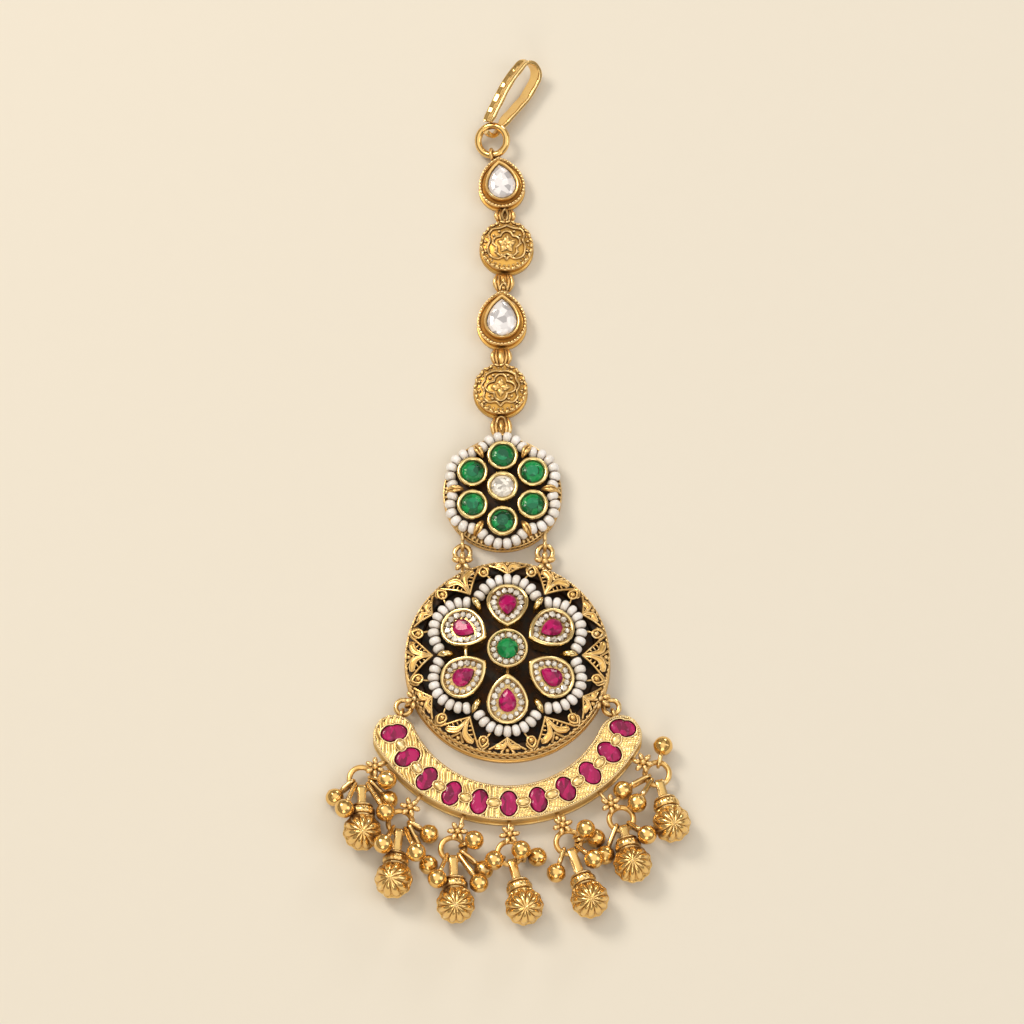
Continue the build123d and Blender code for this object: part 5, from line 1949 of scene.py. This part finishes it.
# --- clusters
@dataclass(frozen=True)
class BallDrop:
    """Polished ball on a long wire loop that hangs on its cluster's ring.

    The ball's middle is given from the middle of that ring, with its height above the surface;
    the last field is where round the ring its wire is threaded, in degrees.
    """

    dx: float
    dy: float
    height: float
    thread: float
    radius: ClassVar[float] = 1.47
    wire: ClassVar[float] = 0.33
    half: ClassVar[float] = 0.66
    low: ClassVar[float] = 0.04
    let_in: ClassVar[float] = 0.22

    def build(self, bench: Bench, loop: Array, loop_radius: float) -> None:
        """Add the ball and its wire loop.

        Args:
            bench: Where they are made.
            loop: Middle of the cluster's ring.
            loop_radius: Radius of that ring.
        """
        ball = np.array([loop[0] + self.dx, loop[1] + self.dy, self.height])
        thread = loop + polar(self.thread, loop_radius)
        heading = unit(ball - thread)
        normal = polar(self.thread + 90, 1)
        normal = unit(normal - heading * normal.dot(heading))
        run = np.linalg.norm(ball - thread)
        high = max(run - self.radius + self.let_in - self.half, self.low + 0.05)
        place = Place(thread, heading, np.cross(normal, heading), normal)
        bench.wire(place.put(Path.link(self.low, high, self.half, 56)), self.wire, 10, closed=True,
                   across=normal)
        salt = noise.noise(Vector(ball * 0.37))
        self.ball(bench, Place.facing(ball, unit(heading + 0.25 * salt * normal)), salt)

    def ball(self, bench: Bench, place: Place, salt: float) -> None:
        """Add the ball: two raised halves with a soldered seam and a crumpled cap.

        Args:
            bench: Where it is made.
            place: Its middle, facing along its wire.
            salt: What sets it apart from the other balls.
        """
        r = min(self.radius, place.origin[0] - CAD_BOUNDS[0][0] / MM - 0.02)
        high = meridian(r, (10, 19, 30, 42, 54, 66, 78))
        seam = [(r, -0.11), (r + 0.02, 0), (r, 0.11)]

        def wave(turn: Array, row: int) -> Array:
            """Return how far a row is creased or dented."""
            if row in (8, 9, 10):
                return 0 * turn
            if row <= 3:
                return 0.03 * np.sin(6 * turn + 5 * salt)
            return -0.03 + 0.01 * np.sin(2 * turn + 9 * salt + row * 0.2)
        bench.turned([(0, -r), *[(x, -z) for x, z in reversed(high)], *seam, *high, (0, r)], place,
                     44, wave)


@dataclass(frozen=True)
class Cluster:
    """One cluster: its flower on the crescent's edge, its bell and its rows of BallDrop."""

    number: int
    flower: tuple[float, float]
    bell: tuple[float, float]
    pole: tuple[float, float]
    petals: int
    drops: Sequence[tuple[float, float, float, float]]
    loop_radius: ClassVar[float] = 1.8
    loop_tube: ClassVar[float] = 0.42
    neck: ClassVar[float] = 0.3
    loop_z: ClassVar[float] = 1.9
    to_loop: ClassVar[float] = 2.5
    radius: ClassVar[float] = 2.75
    bell_z: ClassVar[float] = 2.97
    collar_top: ClassVar[float] = 4.0
    strap_bend: ClassVar[float] = 0.59

    def outward(self) -> Array:
        """Return the way the cluster hangs, straight out from the crescent's edge."""
        return unit((self.flower[0], self.flower[1] - Crescent.outer_y, 0))

    def loop(self) -> Array:
        """Return the middle of the cluster's ring."""
        return np.array([*self.flower, self.loop_z]) + self.outward() * self.to_loop

    def mount(self, bench: Bench) -> None:
        """Add the ring, its neck to the crescent's edge and the flower on the neck."""
        outward = self.outward()
        loop = self.loop()
        root = (0, Crescent.outer_y, self.loop_z) + outward * (Crescent.outer_radius - 0.3)
        bench.ring(Place.facing(loop, UP, outward), self.loop_radius, self.loop_tube)
        bench.wire([root, loop - outward * self.loop_radius], self.neck, 10)
        bench.wire([(*self.flower, 1.7), (*self.flower, 3)], 0.5, 12)
        bench.flower(Place.turned(*self.flower, 3.05, 13 * self.number), 6, 0.95, 0.5)

    def build(self) -> None:
        """Make the bell and the ball drops."""
        bell = Bench()
        middle = np.array([*self.bell, self.bell_z])
        loop = self.loop()
        thread = loop + unit((middle - loop) * (1, 1, 0)) * (self.loop_radius - 0.1)
        heading = unit(middle - thread)
        self.body(bell, Place.facing(middle, (*self.pole, 1), heading))
        self.collar(bell, Place.facing(middle, -heading))
        self.strap(bell, thread, heading, np.linalg.norm(middle - thread) - self.collar_top)
        bell.finish(f"melon_bell_{self.number}", [MELON], "polished_gold",
                    [f"bell_{self.number}"], 50)
        balls = Bench()
        for drop in self.drops:
            BallDrop(*drop).build(balls, loop, self.loop_radius)
        balls.finish(f"ball_drop_group_{self.number}", [POLISHED], "polished_gold",
                     [f"ball_drops_{self.number}"], 50)

    def body(self, bench: Bench, place: Place) -> None:
        """Add the melon body: lens-shaped petals that meet at the pole, and a seam lip."""
        r, count = self.radius, self.petals
        low = (-84, -72, -60, -48, -37, -27, -18, -11)
        high = (10, 15, 21, 28, 35, 43, 51, 59, 67, 74, 80, 85)
        lip = [(r - 0.14, -0.3), (r + 0.06, -0.2), (r + 0.09, 0), (r + 0.06, 0.18), (r - 0.14, 0.3)]
        rows = [(0, -r + 0.1), *meridian(r, low), *lip, *meridian(r, high), (0, r - 0.12)]

        def wave(turn: Array, row: int) -> Array:
            """Return how far a row sinks in between the petals."""
            if 9 <= row < 14:
                return -0.08 * np.cos(count * turn)
            lat = low[row - 1] if row < 9 else high[row - 14]
            share = 1 - abs(lat) / 90
            wide = sin(pi * min(1.0, share * 0.86 + 0.1)) ** 0.45
            spot = (turn * count / (2 * pi)) % 1.0 * 2 - 1
            lens = np.clip(1 - (spot / wide) ** 2, 0, 1) ** 0.7
            deep = min(0.38, 0.42 * cos(radians(lat)) * r)
            return -deep * (1 - lens)
        bench.turned(rows, place, count * 16, wave)
        bench.ball((0, 0, r - 0.14), (0.22, 0.22, 0.14), place, 12, 6)

    def collar(self, bench: Bench, place: Place) -> None:
        """Add the ridged collar above the body."""
        rows = [(1.3, 2), (1.6, 2.2), (1.62, 2.36), (1.5, 2.42), (1.82, 2.5), (1.96, 2.64), (2, 2.9),
                (2, 3.2), (1.94, 3.46), (1.74, 3.62), (1.45, 3.7), (1.42, 3.78), (1.62, 3.86),
                (1.68, 4.02), (1.58, 4.18), (1.3, 4.28), (0, 4.3)]

        def wave(turn: Array, row: int) -> Array:
            """Return how far a row of the ridged band sinks in between the ridges."""
            ridged = 5 <= row <= 9
            return ridged * (-0.13 + 0.13 * np.abs(np.sin(7 * turn)) ** 0.6)
        bench.turned(rows, place, 88, wave)

    def strap(self, bench: Bench, thread: Array, heading: Array, length: float) -> None:
        """Add the flat strap folded round the cluster's ring.

        Args:
            bench: Where it is made.
            thread: Where it passes round the ring.
            heading: The way to the bell.
            length: Distance between the middles of its two folds.
        """
        side = unit(np.cross(heading, UP))
        line = Path.link(0, length, self.strap_bend, 60)
        ridge = Place(thread, heading, np.cross(side, heading), side).put(line)
        bench.wire(ridge, 0.165, 16, closed=True, flat=3.9, across=side, square=3.4)
        away = ridge - ridge.mean(axis=0)
        outer = ridge + 0.13 * away / np.linalg.norm(away, axis=1)[:, None] * (
            np.abs(line[:, 1]) > 0.3)[:, None]
        for shift in (-0.46, 0.46):
            bench.wire(outer + side * shift, 0.1, 6, closed=True, across=side)


CLUSTERS = tuple(Cluster(number + 1, *row) for number, row in enumerate((
    ((-19.7, -17.0), (-21.6, -27.1), (0.05, -0.3), 11,
     ((-4.0, -2.8, 1.5, 205), (3.8, -0.7, 3.4, 1), (4.0, -3.2, 1.5, 333), (-2.5, -5.7, 5.0, 229),
      (3.6, -5.8, 3.6, 311))),
    ((-14.5, -23.3), (-16.9, -34.6), (-0.2, -0.2), 10,
     ((2.4, -5.8, 5.3, 304), (4.3, -1.8, 1.9, 350), (4.2, -6.5, 1.5, 327),
      (-2.5, -4.5, 5.3, 221))),
    ((-7.4, -27.1), (-7.7, -38.5), (0.02, -0.36), 12,
     ((-2.3, -5.5, 4.5, 233), (3.9, -5.7, 3.0, 311), (3.2, 0.8, 3.7, 18), (4.6, -3.2, 1.8, 335))),
    ((0.3, -27.6), (2.5, -38.8), (0.08, -0.42), 11,
     ((-2.3, -1.9, 4.2, 220), (1.7, -0.3, 4.2, 334), (4.1, -0.5, 1.5, 359))),
    ((8.2, -26.1), (12.2, -37.7), (0.1, -0.3), 12,
     ((-1.8, -4.9, 2.3, 244), (3.8, -3.2, 3.7, 332), (4.1, 0.8, 1.5, 10), (2.6, 1.4, 4.0, 38))),
    ((15.4, -22.8), (18.6, -32.2), (0.0, -0.1), 12,
     ((-2.4, -5.6, 1.7, 240), (3.8, -3.2, 4.0, 326))),
    ((20.2, -16.3), (24.4, -25.8), (0.15, -0.33), 11,
     ((-5.1, -2.7, 2.1, 202), (-3.0, -5.0, 3.1, 234), (0.9, 4.3, 2.2, 80))))))


# --- studio
class Lamp(Enum):
    """The studio's soft lights: where each hangs, in metres, its size, power and warmth."""

    KEY = ((-0.42, 0.38, 0.62), 0.3, 2.9, "FFF4E6")
    FILL = ((0.62, -0.1, 0.5), 0.5, 1.0, "F3F5FF")
    FRONT = ((-0.05, -0.62, 0.4), 0.42, 0.9, "FFF6EA")
    RIM = ((0.3, 0.7, 0.3), 0.2, 0.7, "FFFFFF")

    def hang(self, aim: Point) -> None:
        """Hang the light, aimed at a point in metres."""
        spot, size, power, tint = self.value
        light = bpy.data.lights.new(f"{self.name.lower()}_light", "AREA")
        light.shape = "DISK"
        light.size = size
        light.energy = power
        light.color = srgb(tint)
        lamp = bpy.data.objects.new(light.name, light)
        bpy.context.scene.collection.objects.link(lamp)
        lamp.location = spot
        lamp.rotation_euler = (Vector(aim) - Vector(spot)).to_track_quat("-Z", "Y").to_euler()


@dataclass
class Studio:
    """Paper floor, soft lights, a pale surround and the camera."""

    aim: tuple[float, float, float] = (0.000675, 0.0238, 0.002)
    distance: float = 2.0
    elevation: float = 70.0
    focal: float = 468.7
    zenith: Colour = srgb("FFF9EE")
    wall: Colour = srgb("B4A998")
    dim: Colour = srgb("64594E")
    surround_strength: float = 1.15

    def floor(self) -> None:
        """Lay the paper just under the jewel."""
        mesh = bpy.data.meshes.new("studio_floor")
        half = 3.0
        mesh.from_pydata([(x * half, y * half, -0.00001) for x, y in
                          ((-1, -1), (1, -1), (1, 1), (-1, 1))], [], [(0, 1, 2, 3)])
        mesh.materials.append(BACKGROUND.material())
        floor = bpy.data.objects.new("studio_floor", mesh)
        bpy.context.scene.collection.objects.link(floor)

    def surroundings(self) -> None:
        """Fill the studio with a bright ceiling and walls in dim and pale bands."""
        world = bpy.data.worlds.new("studio_surround")
        world.use_nodes = True
        tree = world.node_tree
        spot = tree.nodes.new("ShaderNodeTexCoord")
        split = tree.nodes.new("ShaderNodeSeparateXYZ")
        tree.links.new(spot.outputs["Generated"], split.inputs[0])
        ramp = tree.nodes.new("ShaderNodeValToRGB")
        stops = ((0.0, self.wall), (0.18, self.dim), (0.34, self.wall), (0.62, self.dim),
                 (0.86, self.zenith), (1.0, self.zenith))
        elements = ramp.color_ramp.elements
        while len(elements) < len(stops):
            elements.new(0.5)
        for element, (position, colour) in zip(elements, stops):
            element.position = position
            element.color = (*colour, 1.0)
        tree.links.new(split.outputs["Z"], ramp.inputs[0])
        back = tree.nodes["Background"]
        tree.links.new(ramp.outputs["Color"], back.inputs["Color"])
        back.inputs["Strength"].default_value = self.surround_strength
        bpy.context.scene.world = world

    def camera(self) -> None:
        """Stand the camera over the jewel's lower end."""
        lens = bpy.data.cameras.new("studio_camera")
        lens.lens = self.focal
        lens.sensor_width = 36.0
        lens.clip_start = 0.01
        camera = bpy.data.objects.new("studio_camera", lens)
        bpy.context.scene.collection.objects.link(camera)
        rise = radians(self.elevation)
        aim = Vector(self.aim)
        away = Vector((0.0, -cos(rise), sin(rise)))
        camera.location = aim + away * self.distance
        camera.rotation_euler = (-away).to_track_quat("-Z", "Y").to_euler()
        bpy.context.scene.camera = camera

    def build(self) -> None:
        """Set up the whole studio."""
        self.floor()
        self.surroundings()
        for lamp in Lamp:
            lamp.hang(self.aim)
        self.camera()
        view = bpy.context.scene.view_settings
        view.view_transform = "Standard"
        view.look = "None"
        view.exposure = 0.0


def build_chain() -> None:
    """Make everything above the discs, from the hook down."""
    ring = TopRing()
    HairHook(ring).build()
    ring.build()
    TeardropLink(1, 3.52, 4.75, 2.3, lean=7.5).build()
    PetalLink(1, LeafStyle.OPEN_LEAF).build()
    RoundLink(1, RoundPattern.STAR).build()
    PetalLink(2, LeafStyle.ARCH_AND_BEAD).build()
    TeardropLink(2, 3.75, 5.15, 2.6).build()
    PetalLink(3, LeafStyle.SOLID_LEAF).build()
    RoundLink(2, RoundPattern.DIAMOND).build()
    PetalLink(4, LeafStyle.ARCH_AND_GRAINS).build()


def main() -> None:
    """Dress the whole jewel from the hook down, then set up the studio."""
    logging.basicConfig(level=logging.INFO, format="%(message)s")
    build_chain()
    EmeraldDisc().build()
    LargeDisc().build()
    Crescent().build()
    for cluster in CLUSTERS:
        cluster.build()
    Studio().build()


if __name__ == "__main__":
    main()
